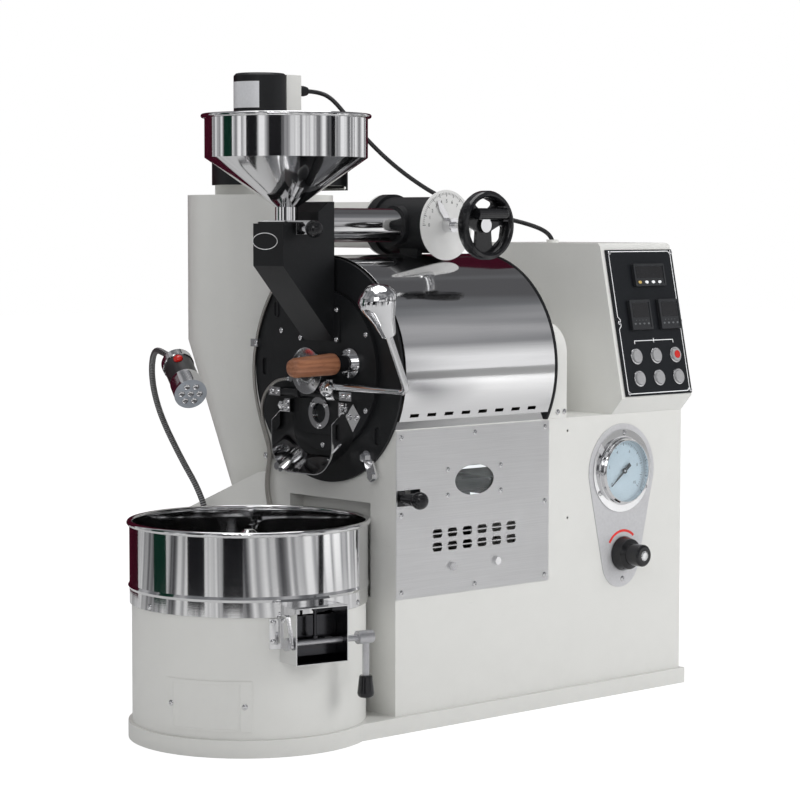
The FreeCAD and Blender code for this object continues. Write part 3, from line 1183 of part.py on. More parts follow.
def chaff_box():
    def outline(inset, x0, x1):
        far = CHAFF_FAR - inset
        low = inset
        near = PLINTH_HALF + inset
        top = CHAFF_TOP - inset
        points = ((near, low), (far, low), (far, top - (far - CHAFF_SHOULDER) * CHAFF_FALL),
                  (CHAFF_SHOULDER, top), (near, top))
        return slab([Vector(x0, y, z) for y, z in points], 0, X * (x1 - x0))

    shell = outline(0, *CHAFF_X).cut(outline(SHEET, CHAFF_X[0] + SHEET, CHAFF_X[1] - SHEET))
    spigot = lathe([(CYCLONE_END_Z, 0), (CYCLONE_END_Z, CYCLONE_END_R), (CYCLONE_CONE_Z, CYCLONE_R),
                    (CYCLONE_CONE_Z, 0)], Vector(CYCLONE_X, CYCLONE_Y, 0), Z)
    doorway = block((CHAFF_X[0] + DRAWER_MARGIN, CHAFF_X[1] - DRAWER_MARGIN),
                    (CHAFF_FAR - 2 * SHEET, CHAFF_FAR + SHEET), (DRAWER_LOW, DRAWER_HIGH))
    shelf = block((CHAFF_X[0] + SHEET, CHAFF_X[1] - SHEET), (PLINTH_HALF + SHEET, CHAFF_FAR - SHEET),
                  (DRAWER_LOW - SHEET - PLAY, DRAWER_LOW - PLAY))
    save("chaff_box", join(cut(shell, spigot, doorway), shelf))


def chaff_drawer():
    x = (CHAFF_X[0] + DRAWER_MARGIN + 1, CHAFF_X[1] - DRAWER_MARGIN - 1)
    y = (PLINTH_HALF + 20, CHAFF_FAR)
    z = (DRAWER_LOW, DRAWER_HIGH - 8)
    t = SHEET
    pan = block(x, y, z).cut(block((x[0] + t, x[1] - t), (y[0] + t, y[1] - t), (z[0] + t, z[1] + t)))
    front = block((CHAFF_X[0] + 6, CHAFF_X[1] - 6), (CHAFF_FAR + 0.2, CHAFF_FAR + 0.2 + t),
                  (DRAWER_LOW - 6, DRAWER_HIGH + 8))
    link = block((x[0] + 20, x[1] - 20), (CHAFF_FAR - t, CHAFF_FAR + 1), (z[0] + 20, z[1] - 20))
    mid = (x[0] + x[1]) / 2
    bail = [block((mid - 45, mid + 45), (CHAFF_FAR + 20, CHAFF_FAR + 26), (108, 116))]
    for side in (-1, 1):
        edge = sorted((mid + side * 45, mid + side * 39))
        bail.append(block(edge, (CHAFF_FAR + 1, CHAFF_FAR + 26), (108, 116)))
    save("chaff_drawer", join(pan, front, link, *bail))


def blower_housing():
    """Square collar, spiral casing and the flanged outlet."""
    axis = Vector(CYCLONE_X, CYCLONE_Y, 0)
    x, y = CYCLONE_X, CYCLONE_Y
    collar = block((x - COLLAR_HALF, x + COLLAR_HALF), (y - COLLAR_HALF, y + COLLAR_HALF),
                   (CYCLONE_TOP, VOLUTE_LOW))
    collar = collar.cut(rod(INLET_R - SHEET, axis + Z * CYCLONE_TOP, Z, COLLAR_HEIGHT))

    edge = y - VOLUTE_R
    seam = x + VOLUTE_R
    end = x + OUTLET_REACH

    def spiral(inset):
        drum = rod(VOLUTE_R - inset, axis + Z * (VOLUTE_LOW + inset), Z, VOLUTE_HEIGHT - 2 * inset)
        duct = block((x, end + 2 * inset), (edge + inset, edge + OUTLET_WIDTH - inset),
                     (VOLUTE_LOW + inset, VOLUTE_HIGH - inset))
        return drum.fuse(duct)

    lip = OUTLET_FLANGE
    flange = block((end - 2 * SHEET, end), (edge - lip, edge + OUTLET_WIDTH + lip),
                   (VOLUTE_LOW - lip, VOLUTE_HIGH + lip))
    eyes = [rod(INLET_R - SHEET, axis + Z * (VOLUTE_LOW - 1), Z, 2 * SHEET + 1),
            rod(8, axis + Z * (VOLUTE_HIGH - 2 * SHEET), Z, 3 * SHEET)]
    casing = cut(join(spiral(0), flange), spiral(SHEET), *eyes, *outlet_holes())
    beyond = block((seam, end + 1), (edge - 2 * lip, y), (VOLUTE_LOW - 2 * lip, VOLUTE_HIGH + 2 * lip))
    save("blower_housing", collar, casing.cut(beyond), casing.common(beyond))


def outlet_holes():
    """Four bolt holes in the corners of the outlet flange."""
    mid_y = CYCLONE_Y - VOLUTE_R + OUTLET_WIDTH / 2
    mid_z = (VOLUTE_LOW + VOLUTE_HIGH) / 2
    half_y = OUTLET_WIDTH / 2 + OUTLET_FLANGE / 2
    half_z = VOLUTE_HEIGHT / 2 + OUTLET_FLANGE / 2
    start = CYCLONE_X + OUTLET_REACH - 3 * SHEET
    return [rod(OUTLET_BOLT_R, Vector(start, mid_y + a * half_y, mid_z + b * half_z), X, 4 * SHEET)
            for a in (-1, 1) for b in (-1, 1)]


def blower_motor():
    axis = Vector(CYCLONE_X, CYCLONE_Y, 0)
    body = lathe([(VOLUTE_HIGH, 0), (VOLUTE_HIGH, MOTOR_R), (MOTOR_TOP - 4, MOTOR_R),
                  (MOTOR_TOP, MOTOR_R - 4), (MOTOR_TOP, 0)], axis, Z)
    body = body.cut(rod(6 + RUN, axis + Z * (VOLUTE_HIGH - 1), Z, 31))
    edge = CYCLONE_X + MOTOR_R
    low = MOTOR_TOP - TERMINAL_HEIGHT
    box = block((edge - 6, CYCLONE_X + TERMINAL_REACH),
                (CYCLONE_Y - TERMINAL_HALF, CYCLONE_Y + TERMINAL_HALF), (low, MOTOR_TOP - 1))
    box = box.cut(rod(MOTOR_R, axis + Z * low, Z, TERMINAL_HEIGHT))
    gland_start = Vector(CYCLONE_X + TERMINAL_REACH, MOTOR_CABLE[0][1], MOTOR_CABLE[0][2])
    reach = MOTOR_CABLE[0][0] - gland_start.x
    gland = lathe([(0, 0), (0, 10), (9, 10), (11, 8.5), (reach - 8, 8.5), (reach - 3, 7.5), (reach, 6.5),
                   (reach, 0)], gland_start, X)
    save("blower_motor", body, box, gland)


def blower_impeller():
    axis = Vector(CYCLONE_X, CYCLONE_Y, 0)
    low = VOLUTE_LOW + 10
    high = VOLUTE_HIGH - 12
    disc = rod(IMPELLER_R, axis + Z * (high - 2), Z, 2)
    pieces = [disc, rod(12, axis + Z * (low + 20), Z, high - low - 20), rod(6, axis + Z * high, Z, 38)]
    for i in range(BLADES):
        blade = block((34, IMPELLER_R), (-0.8, 0.8), (low, high - 1))
        blade.Placement = Placement(axis, Rotation(Z, 360 * i / BLADES))
        pieces.append(blade)
    rim = ring(IMPELLER_R, IMPELLER_R - 8, axis + Z * low, Z, 2)
    save("blower_impeller", join(*pieces, rim))


# ---------------------------------------------------------------- cooling tray

def sector(outer, inner, low, high, start, end):
    """Curved plate about the tray's axis, between two angles in degrees."""
    wedge = Part.makeCylinder(outer + 1, high - low, Z * low, Z, end - start)
    wedge.rotate(Vector(0, 0, 0), Z, start)
    return ring(outer, inner, Z * low, Z, high - low).common(wedge)


def on_outlet(shape):
    """Turn a shape that is square to the outlet's mouth to its place round the tray."""
    shape.rotate(Vector(0, 0, 0), Z, OUTLET_TURN)
    return shape


def tray_base():
    """White drum below the tray; it ends at the cabinet's front and carries the outlet's opening."""
    wall = ring(TRAY_R, TRAY_R - SHEET, Z * PLINTH_TOP, Z, FLOOR_Z - PLINTH_TOP)
    lid = ring(TRAY_R, TRAY_R - 14, Z * (FLOOR_Z - SHEET), Z, SHEET)
    room = block((CAB_FRONT, TRAY_R + 5), (-TRAY_R, TRAY_R), (PLINTH_TOP - 1, FLOOR_Z + 1))
    opening = on_outlet(block(OUTLET_X, (OUTLET_Y, OUTLET_ROOT), (OUTLET_LOW, FLOOR_Z + 1)))
    hatch = sector(TRAY_R + THIN_SHEET, TRAY_R, HATCH_Z[0], HATCH_Z[1], HATCH_TURN[0], HATCH_TURN[1])
    hatch = hatch.cut(sector(TRAY_R + 2 * THIN_SHEET, TRAY_R + THIN_SHEET - HATCH_SUNK,
                             HATCH_FIELD_Z[0], HATCH_FIELD_Z[1], HATCH_FIELD_TURN[0], HATCH_FIELD_TURN[1]))
    save("tray_base", cut(join(wall, lid), room, opening), hatch)


def tray_ring():
    """Chrome ring with its rolled rim, and the perforated floor that it holds."""
    inner = TRAY_R + 0.3
    profile = [(RING_LOW, inner), (RING_LOW, RING_R), (BAND_Z - 4, RING_R), (BAND_Z, RING_R + 2.2),
               (BAND_Z + 4, RING_R), (RING_TOP, RING_R), (RING_TOP, inner)]
    wall = lathe(profile, Vector(0, 0, 0), Z)
    bead = Part.makeTorus(RING_R, RIM_BEAD_R, Z * RING_TOP, Z)
    floor = rod(inner + 0.5, Z * FLOOR_Z, Z, SHEET).cut(rod(12, Z * FLOOR_Z, Z, SHEET))
    gate = on_outlet(block((OUTLET_X[0] + GATE_EDGE, OUTLET_X[1] - GATE_EDGE),
                           (2 * GATE_EDGE - TRAY_R, OUTLET_ROOT), (FLOOR_Z - 1, FLOOR_Z + 3)))
    holes = []
    for count, radius in ((16, 60), (24, 90), (36, 135)):
        for i in range(count):
            turn = 2 * math.pi * i / count
            spot = Vector(radius * math.cos(turn), radius * math.sin(turn), FLOOR_Z - 1)
            holes.append(rod(1.6, spot, Z, 4))
    save("tray_ring", cut(join(wall, bead, floor), gate, *holes))


def stirrer():
    """Hub on the gearmotor's shaft, four arms and the blades that sweep the floor."""
    base = FLOOR_Z + SHEET + 1
    top = STIRRER_ARM_Z
    hub = lathe([(base, 0), (base, POST_R), (top + 6, POST_R), (top + 11, POST_R - 5),
                 (top + 15, POST_R - 10), (top + 15, 0)], Vector(0, 0, 0), Z)
    pieces = [hub, rod(STIRRER_SHAFT_R, Z * (FLOOR_Z - 28), Z, 32)]
    for i in range(STIRRER_ARMS):
        parts = [block((0, STIRRER_R), (-5, 5), (top, top + ARM_THICK)),
                 rod(5, Vector(2 * POST_R, 0, top), Z, ARM_THICK + 4)]
        for radius, turn in STIRRER_BLADES:
            blade = block((-20, 20), (-1, 1), (base, base + BLADE_HEIGHT))
            blade = blade.fuse(rod(5, Vector(0, 0, base), Z, top + 12 - base))
            blade.Placement = Placement(Vector(radius, 0, 0), Rotation(Z, turn))
            parts.append(blade)
        spoke = join(*parts)
        spoke.Placement = Placement(Vector(0, 0, 0), Rotation(Z, STIRRER_TURN + 360 * i / STIRRER_ARMS))
        pieces.append(spoke)
    save("stirrer", join(*pieces))


def tray_outlet():
    """Spout with two cheeks, a hood and a floor that falls outwards, hung on the drum's wall by a tab."""
    x0, x1 = OUTLET_X
    low, high = OUTLET_LOW, OUTLET_HIGH
    bottom_y = OUTLET_ROOT - SLIDE_RUN
    thick = 1.1 * SHEET
    cheeks = []
    outline = ((OUTLET_Y, low), (OUTLET_Y, high), (OUTLET_ROOT, high), (OUTLET_ROOT, high - 4),
               (bottom_y, low))
    for x in (x0, x1 - SHEET):
        cheeks.append(slab([Vector(x, y, z) for y, z in outline], 0, X * SHEET))
    hood = block((x0, x1), (OUTLET_Y, bottom_y), (high - SHEET, high))
    slide = slab([Vector(x0, y, z) for y, z in
                  ((OUTLET_ROOT, high - 4), (OUTLET_ROOT + thick, high - 4), (bottom_y + thick, low),
                   (OUTLET_Y, low), (OUTLET_Y, low + SHEET), (bottom_y, low + SHEET))], 0, X * (x1 - x0))
    ring_room = ring(RING_R + 0.3, TRAY_R, Z * (RING_LOW - 0.3), Z, FLOOR_Z)
    inside = rod(RING_R + 0.3, Z * (high - 2 * SHEET), Z, 3 * SHEET)
    tab = sector(TRAY_R + SHEET, TRAY_R, TAB_Z[0], TAB_Z[1], TAB_TURN[0], TAB_TURN[1])
    hanger = ((21.5, HANGER_TOP), (6.5, HANGER_TOP), (-7.5, FLAP_Z - 7), (8, FLAP_Z - 7))
    strap = slab([Vector(x0 - STRAP_THICK, FLAP_Y + dy, z) for dy, z in hanger], 5, X * STRAP_THICK)
    stop = Vector(STOP_X, OUTLET_Y + STOP_INSET, FLAP_Z + STOP_LIFT)
    rod_up = rod(2.6, stop, Z, high - SHEET - stop.z)
    nuts = [rod(4.5, stop, Z, 4), rod(4.5, stop + Z * (high - SHEET - stop.z - 5), Z, 5)]
    bore = rod(FLAP_SHAFT_R + RUN, Vector(x0 - 10, FLAP_Y, FLAP_Z), X, x1 - x0 + 12)
    spout = join(*cheeks, hood.cut(inside), slide).cut(ring_room)
    spout = on_outlet(join(spout, strap, rod_up, *nuts).cut(bore))
    save("tray_outlet", join(spout, tab))


def tray_gate():
    """Flap inside the spout on a shaft along its mouth; its lever ends in a black grip."""
    x0, x1 = OUTLET_X
    inside = (x0 + SHEET + PLAY, x1 - SHEET - PLAY)
    shaft_start = x0 - STRAP_THICK - NUT_REACH
    pieces = [rod(FLAP_SHAFT_R, Vector(shaft_start, FLAP_Y, FLAP_Z), X, LEVER_X[1] - shaft_start),
              rod(2 * FLAP_SHAFT_R, Vector(shaft_start - 1, FLAP_Y, FLAP_Z), X, NUT_REACH + 1 - PLAY)]
    back = FLAP_Y + FLAP_BACK
    pieces.append(block(inside, (back, back + SHEET), FLAP_SPAN))
    for x in FLAP_TABS:
        pieces.append(block((x, x + 10), (FLAP_Y, back + 1), (FLAP_Z - 3, FLAP_Z + 3)))
    pieces.append(rod(LEVER_HUB_R, Vector(LEVER_X[0], FLAP_Y, FLAP_Z), X, LEVER_X[1] - LEVER_X[0]))
    arm_x = LEVER_X[0] + 14
    pieces.append(rod(5, Vector(arm_x, FLAP_Y, LEVER_GRIP_Z[1] - 3), Z, FLAP_Z - LEVER_GRIP_Z[1] + 3))
    length = LEVER_GRIP_Z[1] - LEVER_GRIP_Z[0]
    grip = lathe([(0, 0), (0, 6), (1, 9.6), (3.5, 11.6), (7, 12.2), (length - 1.5, 9.6),
                  (length, 8.5), (length, 0)], Vector(arm_x, FLAP_Y, LEVER_GRIP_Z[0]), Z)
    pieces.append(grip)
    save("tray_gate", on_outlet(join(*pieces)))


# ---------------------------------------------------------------- control box and panel

def on_slope(shape):
    """Move a shape from the panel's own plane to its place on the slope."""
    shape.Placement = PANEL_FRAME.multiply(shape.Placement)
    return shape


def control_box():
    """Folded box with its sloped front open behind the panel, and the cable's grommet."""
    def outline(inset, x0, x1, low):
        points = ((NEAR + inset, low), (BOX_LIP_Y + inset, BOX_LIP_Z + inset / 2),
                  (BOX_BROW_Y + inset, BOX_BROW_Z - inset), (BOX_BROW_Y + 5 + inset, BOX_TOP - inset),
                  (CAB_HALF - inset, BOX_TOP - inset), (CAB_HALF - inset, low))
        return slab([Vector(x0, y, z) for y, z in points], 0, X * (x1 - x0))

    shell = outline(0, BOX_FRONT, CAB_REAR, CAB_TOP)
    shell = shell.cut(outline(SHEET, BOX_FRONT + SHEET, CAB_REAR - SHEET, CAB_TOP - 1))
    window = on_slope(block((PANEL_X[0] + PANEL_LAP, PANEL_X[1] - PANEL_LAP),
                            (PANEL_S[0] + PANEL_LAP, PANEL_S[1] - PANEL_LAP), (-6, 6)))
    shaft_way = rod(SHAFT_R + 4, on_axis(BOX_FRONT - 1), X, 4)
    last, end = Vector(*MOTOR_CABLE[-2]), Vector(*MOTOR_CABLE[-1])
    inward = (end - last).normalize()
    cable_way = rod(MOTOR_CABLE_R + 2, last, inward, 20)
    bush = ring(MOTOR_CABLE_R + 6, MOTOR_CABLE_R, last, inward, 20)
    bush = bush.common(block((last.x - 20, last.x + 20), (last.y - 20, last.y + 20), (BOX_TOP, BOX_TOP + 5)))
    save("control_box", cut(shell, window, shaft_way, cable_way), bush)


def display_outline(span, z, depth):
    x0, x1, s0, s1 = span
    return slab([Vector(x, s, z) for x, s in ((x0, s0), (x1, s0), (x1, s1), (x0, s1))], 2, Z * depth)


def control_panel():
    """Black panel with cut-outs for the timer, the two controllers and the buttons."""
    plate = block(PANEL_X, PANEL_S, (0, PANEL_THICK))
    tools = []
    for x0, x1, s0, s1 in DISPLAYS:
        tools.append(block((x0 + 1, x1 - 1), (s0 + 1, s1 - 1), (-1, PANEL_THICK + 1)))
    for x in BUTTON_COLUMNS:
        for s in BUTTON_ROWS:
            tools.append(rod(BUTTON_R + DRILL, Vector(x, s, -1), Z, PANEL_THICK + 2))
    save("control_panel", on_slope(cut(plate, *tools)))


def display_units():
    """Timer and two temperature controllers, each a framed unit held in its cut-out."""
    units = []
    top = PANEL_THICK + DISPLAY_PROUD
    for span in DISPLAYS:
        x0, x1, s0, s1 = span
        frame = display_outline(span, PANEL_THICK, DISPLAY_PROUD)
        rim = DISPLAY_RIM
        sunk = block((x0 + rim, x1 - rim), (s0 + rim, s1 - rim), (top - 1.2, top + 1))
        body = block((x0 + 1.3, x1 - 1.3), (s0 + 1.3, s1 - 1.3), (-DISPLAY_BODY, PANEL_THICK))
        units.append(on_slope(join(frame.cut(sunk), body)))
    save("display_units", *units)


def button_bezels():
    """Bright rings that clamp the buttons in the panel."""
    rings = []
    for x in BUTTON_COLUMNS:
        for s in BUTTON_ROWS:
            bezel = lathe([(0, BUTTON_R + DRILL), (0, BEZEL_R), (BEZEL_PROUD - 0.8, BEZEL_R),
                           (BEZEL_PROUD, BEZEL_R - 1), (BEZEL_PROUD, BUTTON_R + DRILL)],
                          Vector(x, s, PANEL_THICK), Z)
            rings.append(on_slope(bezel))
    save("button_bezels", *rings)


def push_buttons():
    """Six round buttons; each slides in its hole and carries a stem behind."""
    number = 0
    top = PANEL_THICK + BUTTON_PROUD
    for s in BUTTON_ROWS:
        for x in BUTTON_COLUMNS:
            number += 1
            cap = lathe([(-BUTTON_STEM, 0), (-BUTTON_STEM, BUTTON_R - 4), (-2, BUTTON_R - 4), (-2, BUTTON_R),
                         (top - 1, BUTTON_R), (top, BUTTON_R - 1.2), (top, 0)], Vector(x, s, 0), Z)
            save("push_button_%d" % number, on_slope(cap))


# ---------------------------------------------------------------- gauge, regulator, air lever, burner

def gauge_plate():
    """Backing plate: two discs joined by their common tangents."""
    top = Vector(GAUGE[0], NEAR, GAUGE[1])
    low = Vector(KNOB[0] - 5, NEAR, KNOB_PLATE_Z)
    lean = math.asin((GAUGE_PLATE_R - KNOB_PLATE_R) / (top.z - low.z))
    corners = []
    for side, centre, radius in ((1, top, GAUGE_PLATE_R), (1, low, KNOB_PLATE_R), (-1, low, KNOB_PLATE_R),
                                 (-1, top, GAUGE_PLATE_R)):
        corners.append(centre + Vector(side * math.cos(lean), 0, -math.sin(lean)) * radius)
    body = slab(corners, 0, -Y * THIN_SHEET)
    body = join(body, rod(GAUGE_PLATE_R, top, -Y, THIN_SHEET), rod(KNOB_PLATE_R, low, -Y, THIN_SHEET))
    hole = rod(GAUGE_R - 1, top + Y, -Y, THIN_SHEET + 2)
    knob_hole = rod(STEM_HOLE_R, Vector(KNOB[0], NEAR + 1, KNOB[1]), -Y, THIN_SHEET + 2)
    save("gauge_plate", cut(body, hole, knob_hole))


def gauge():
    """Bourdon gauge: flanged case with its dial, the glass and the needle."""
    face = Vector(GAUGE[0], PANEL_FACE, GAUGE[1])
    profile = [(-GAUGE_DEPTH, 0), (-GAUGE_DEPTH, GAUGE_R - 2), (0, GAUGE_R - 2), (0, GAUGE_FLANGE_R),
               (1.6, GAUGE_FLANGE_R), (1.6, GAUGE_R + 3), (2.6, GAUGE_R), (GAUGE_PROUD - 3, GAUGE_R),
               (GAUGE_PROUD, GAUGE_R - 2.5),
               (GAUGE_PROUD, GAUGE_DIAL_R), (3, GAUGE_DIAL_R), (3, 0)]
    post = rod(NEEDLE_POST_R, face - Y * 3, -Y, 4.5)
    save("gauge_case", join(lathe(profile, face, -Y), post))
    glass = rod(GAUGE_DIAL_R, face - Y * (GAUGE_PROUD - 3.5), -Y, 2)
    save("glass_panes", glass, window_ellipse(PANE_LAP, NEAR + PANE_THICK, PANE_THICK))
    plane = face - Y * 5.5
    hub = ring(4.5, NEEDLE_POST_R + RUN, plane, -Y, 2)
    blade = slab([Vector(-1.6, 0, 3), Vector(1.6, 0, 3), Vector(0.5, 0, 38), Vector(-0.5, 0, 38)], 0, -Y)
    tail = slab([Vector(-2.5, 0, -3), Vector(2.5, 0, -3), Vector(3.2, 0, -16), Vector(-3.2, 0, -16)], 0, -Y)
    for piece in (blade, tail):
        piece.Placement = Placement(plane - Y * 0.5, Rotation(Y, NEEDLE_TURN))
    save("gauge_needle", join(hub, blade, tail))


def regulator_knob():
    """Flared collar and round handle on a stem that turns in the gas valve."""
    face = Vector(KNOB[0], PANEL_FACE - PLAY, KNOB[1])
    flare, tip = REGULATOR_FLARE, REGULATOR_PROUD
    knob = lathe([(0, 0), (0, flare), (3, flare), (7, flare - 1.5), (17, flare - 3.5), (20, REGULATOR_R),
                  (tip - 3, REGULATOR_R), (tip, REGULATOR_R - 3), (tip, 8), (tip + 1.5, 5), (tip + 1.5, 0)],
                 face, -Y)
    stem = rod(REGULATOR_STEM_R, face, Y, VALVE_FRONT + STEM_DEPTH - face.y)
    save("regulator_knob", join(knob, stem))


def air_lever():
    """Rod with a ball grip that slides along the slot and moves the air shutter behind it."""
    z = (SLOT_Z[0] + SLOT_Z[1]) / 2
    start = Vector(AIR_X, NEAR + SHOE_DEPTH, z)
    stem = rod(AIR_ROD_R, start, -Y, start.y - AIR_BALL_Y)
    neck = lathe([(0, 0), (0, 7.5), (20, 9.5), (24, 9.5), (30, 0)], Vector(AIR_X, PANEL_FACE - 5, z), -Y)
    ball = Part.makeSphere(KNOB_R, Vector(AIR_X, AIR_BALL_Y, z))
    shoe = block((AIR_X - 9, AIR_X + 9), (NEAR + SHEET + SHOE_GAP, NEAR + SHOE_DEPTH),
                 (SLOT_Z[0] - 8, SLOT_Z[1] + 8))
    save("air_lever", join(stem, neck, ball, shoe))


def gas_burner():
    """Three burner bars on a manifold, the feed pipe, the valve behind the knob and the rear inlet."""
    x0, x1 = BURNER_X
    riser = x1 + 6
    pieces = [rod(BURNER_R, Vector(x0, y, BURNER_Z), X, x1 - x0) for y in BURNER_Y]
    manifold = Vector(x1, BURNER_Y[0] - MANIFOLD_PAST, BURNER_Z)
    pieces.append(rod(BURNER_R + 1, manifold, Y, BURNER_Y[-1] - BURNER_Y[0] + 2 * MANIFOLD_PAST))
    valve_y = VALVE_FRONT + 22
    pieces.append(rod(GAS_R, Vector(riser, 0, GAS_Z), Z, BURNER_Z - GAS_Z))
    pieces.append(rod(GAS_R, Vector(riser, valve_y, GAS_Z), Y, -valve_y))
    pieces.append(rod(GAS_R, Vector(riser, valve_y, GAS_Z), X, KNOB[0] - riser))
    pieces.append(rod(GAS_R, Vector(KNOB[0], valve_y, GAS_Z), Y, -valve_y))
    pieces.append(rod(GAS_R, Vector(KNOB[0], 0, GAS_Z), X, CAB_REAR + GAS_REACH - KNOB[0]))
    valve_x = (KNOB[0] - VALVE_HALF, KNOB[0] + VALVE_HALF)
    pieces.append(block(valve_x, (VALVE_FRONT, VALVE_FRONT + 2 * VALVE_HALF), VALVE_Z))
    inside_back = CAB_REAR - SHEET
    pieces.append(rod(GAS_R + 6, Vector(inside_back - GAS_NUT, 0, GAS_Z), X, GAS_NUT))
    pieces.append(rod(GAS_R + GAS_BUSH, Vector(inside_back - 1, 0, GAS_Z), X, 1 + SHEET + GAS_BUSH_REACH))
    for x in (x0 + 20, x1 - 30):
        pieces.append(block((x, x + 6), (SHEET - CAB_HALF, CAB_HALF - SHEET), (BURNER_Z - 14, BURNER_Z - 6)))
    stem_hole = rod(REGULATOR_STEM_R + RUN, Vector(KNOB[0], VALVE_FRONT, KNOB[1]), Y, STEM_DEPTH + PLAY)
    save("gas_burner", join(*pieces).cut(stem_hole))


# ---------------------------------------------------------------- lamp, cables and screws

def work_lamp():
    aim = Vector(LAMP_AIM).normalize()
    neck = tube_along(NECK_ROUTE + (tuple(LAMP_CAP - aim * 6),), NECK_R)
    foot_face = CHAFF_X[0]
    magnet = join(rod(16, Vector(foot_face, NECK_ROUTE[0][1], NECK_ROUTE[0][2] - 2), -X, 16),
                  rod(NECK_R + 3, Vector(*NECK_ROUTE[0]) - Z * 14, Z, 26))
    head = lathe([(-8, 0), (-8, 8), (-3, 9), (-3, LAMP_R - 3), (0, LAMP_R - 0.6), (13, LAMP_R - 0.6),
                  (15, LAMP_R - 2.2), (57, LAMP_R - 2.2), (59, LAMP_R - 1), (LAMP_LENGTH - 6, LAMP_R - 0.4),
                  (LAMP_LENGTH, LAMP_R), (LAMP_LENGTH, 0)], LAMP_CAP, aim)
    side = Vector(-0.45, -0.35, 0.82)
    side = (side - aim * side.dot(aim)).normalize()
    seat = LAMP_CAP + aim * 26
    well = rod(7.2, seat + side * (LAMP_R - 12), side, 20)
    save("work_lamp", join(magnet, neck, head).cut(well))
    button = lathe([(0, 0), (0, 6.9), (9, 6.9), (11.5, 4), (12, 0)], seat + side * (LAMP_R - 8.5), side)
    save("lamp_button", button)


def cables():
    """Motor cable from the blower to the control box, and two braided probe cables."""
    save("motor_cable", tube_along(MOTOR_CABLE, MOTOR_CABLE_R))
    save("probe_cable", tube_along(PROBE_CABLE, PROBE_CABLE_R))
    save("rim_cable", tube_along(RIM_CABLE, PROBE_CABLE_R))


def front_screws():
    """Screws on the plates, the chute's foot, the guide, the hinge blocks and the door."""
    heads = []
    for degrees in (30, 150, 210, 270, 330):
        heads.append(screw(Vector(INNER_FACE, *around(0, DRUM_Z, INNER_SCREW_R, degrees)), -X))
    for y in (CHUTE_NEAR - CHUTE_EAR / 2, CHUTE_FAR + CHUTE_EAR / 2):
        for z in (CHUTE_FOOT + 3, CHUTE_FOOT + 47):
            heads.append(screw(Vector(INNER_FACE - 2, y, z), -X))
    for degrees in (80, 200, 320):
        spot = around(TRYER_Y, TRYER_Z, TRYER_FLANGE_R - 4.5, degrees)
        heads.append(screw(Vector(INNER_FACE - TRYER_FLANGE, *spot), -X))
    for side in (-1, 1):
        for i in range(2):
            y = side * (BLOCK_NEAR + 7 + BLOCK_PITCH * i)
            heads.append(screw(Vector(HINGE_X - BLOCK_HALF, y, HINGE_Z), -X))
        for z in BRACKET_SCREWS:
            heads.append(screw(Vector(INNER_FACE - BRACKET_DEPTH, side * (SCOOP_HALF - 8), z), -X))
        flange_screw = Vector(INNER_FACE - SHEET, side * (SCOOP_HALF + FLANGE_SCREW[0]), FLANGE_SCREW[1])
        heads.append(screw(flange_screw, -X))
        heads.append(hex_bolt(Vector(EAR_AT[0], side * SCOOP_HALF, EAR_AT[1]), Y * side))
        for offset in STRAP_BOLTS:
            heads.append(hex_bolt(strap_point(side, offset, PLATE_FACE - STRAP_THICK), -X))
    heads.append(screw(Vector(PLATE_FACE - CLIP_THICK, RIM_CLIP_Y[0] + 4, sum(RIM_CLIP_Z) / 2), -X))
    heads.append(screw(Vector(CLIP_FACE, CLIP_Y[1] - 4.5, sum(CLIP_Z) / 2), -X))
    return heads


def side_screws():
    """Screws of the access panel, the gauge, the cover's foot and the tray."""
    heads = []
    mid = [(low + high) / 2 for low, high in (ACCESS_X, ACCESS_Z)]
    inset = ACCESS_MARGIN - 0.5
    for x in (ACCESS_X[0] + inset, mid[0], ACCESS_X[1] - inset):
        for z in (ACCESS_Z[0] + inset, mid[1], ACCESS_Z[1] - inset):
            if (x, z) != tuple(mid):
                heads.append(screw(Vector(x, PANEL_FACE, z), -Y))
    for dx in (-55.3, 54.7):
        for dz in (-20, 18.2):
            heads.append(screw(Vector(WINDOW[0] + dx, PANEL_FACE, WINDOW[1] + dz), -Y))
        heads.append(hex_bolt(Vector(WINDOW[0] + 0.84 * dx, PANEL_FACE, 238), -Y))
    for degrees in (86.5, 212.5, -29):
        x, z = around(GAUGE[0], GAUGE[1], 60.5, degrees)
        heads.append(screw(Vector(x, PANEL_FACE - 1.6, z), -Y))
    heads.append(screw(Vector(KNOB[0] - 1, PANEL_FACE, KNOB_PLATE_Z - 29), -Y))
    for x in (COVER_END + 29, HOUSING_END - 6):
        heads.append(screw(Vector(x, NEAR, CAB_TOP + 10), -Y))
    hatch_turns = (HATCH_TURN[0] + 2.5, HATCH_TURN[1] - 3.4)
    rows = ((RING_R, RING_LOW + 6, (177, 57, -64.8)), (TRAY_R + THIN_SHEET, sum(HATCH_Z) / 2, hatch_turns),
            (TRAY_R + SHEET, TAB_Z[1] - 5.4, (TAB_BOLT,)), (TRAY_R + SHEET, TAB_Z[0] + 10.5, (TAB_BOLT,)))
    for radius, z, turns in rows:
        for degrees in turns:
            turn = math.radians(degrees)
            outward = Vector(math.cos(turn), math.sin(turn), 0)
            heads.append(screw(outward * (radius - 0.05) + Z * z, outward))
    hanger_bolt = Vector(OUTLET_X[0] - STRAP_THICK, FLAP_Y + HANGER_BOLT[0], HANGER_BOLT[1])
    heads.append(on_outlet(screw(hanger_bolt, -X)))
    return heads


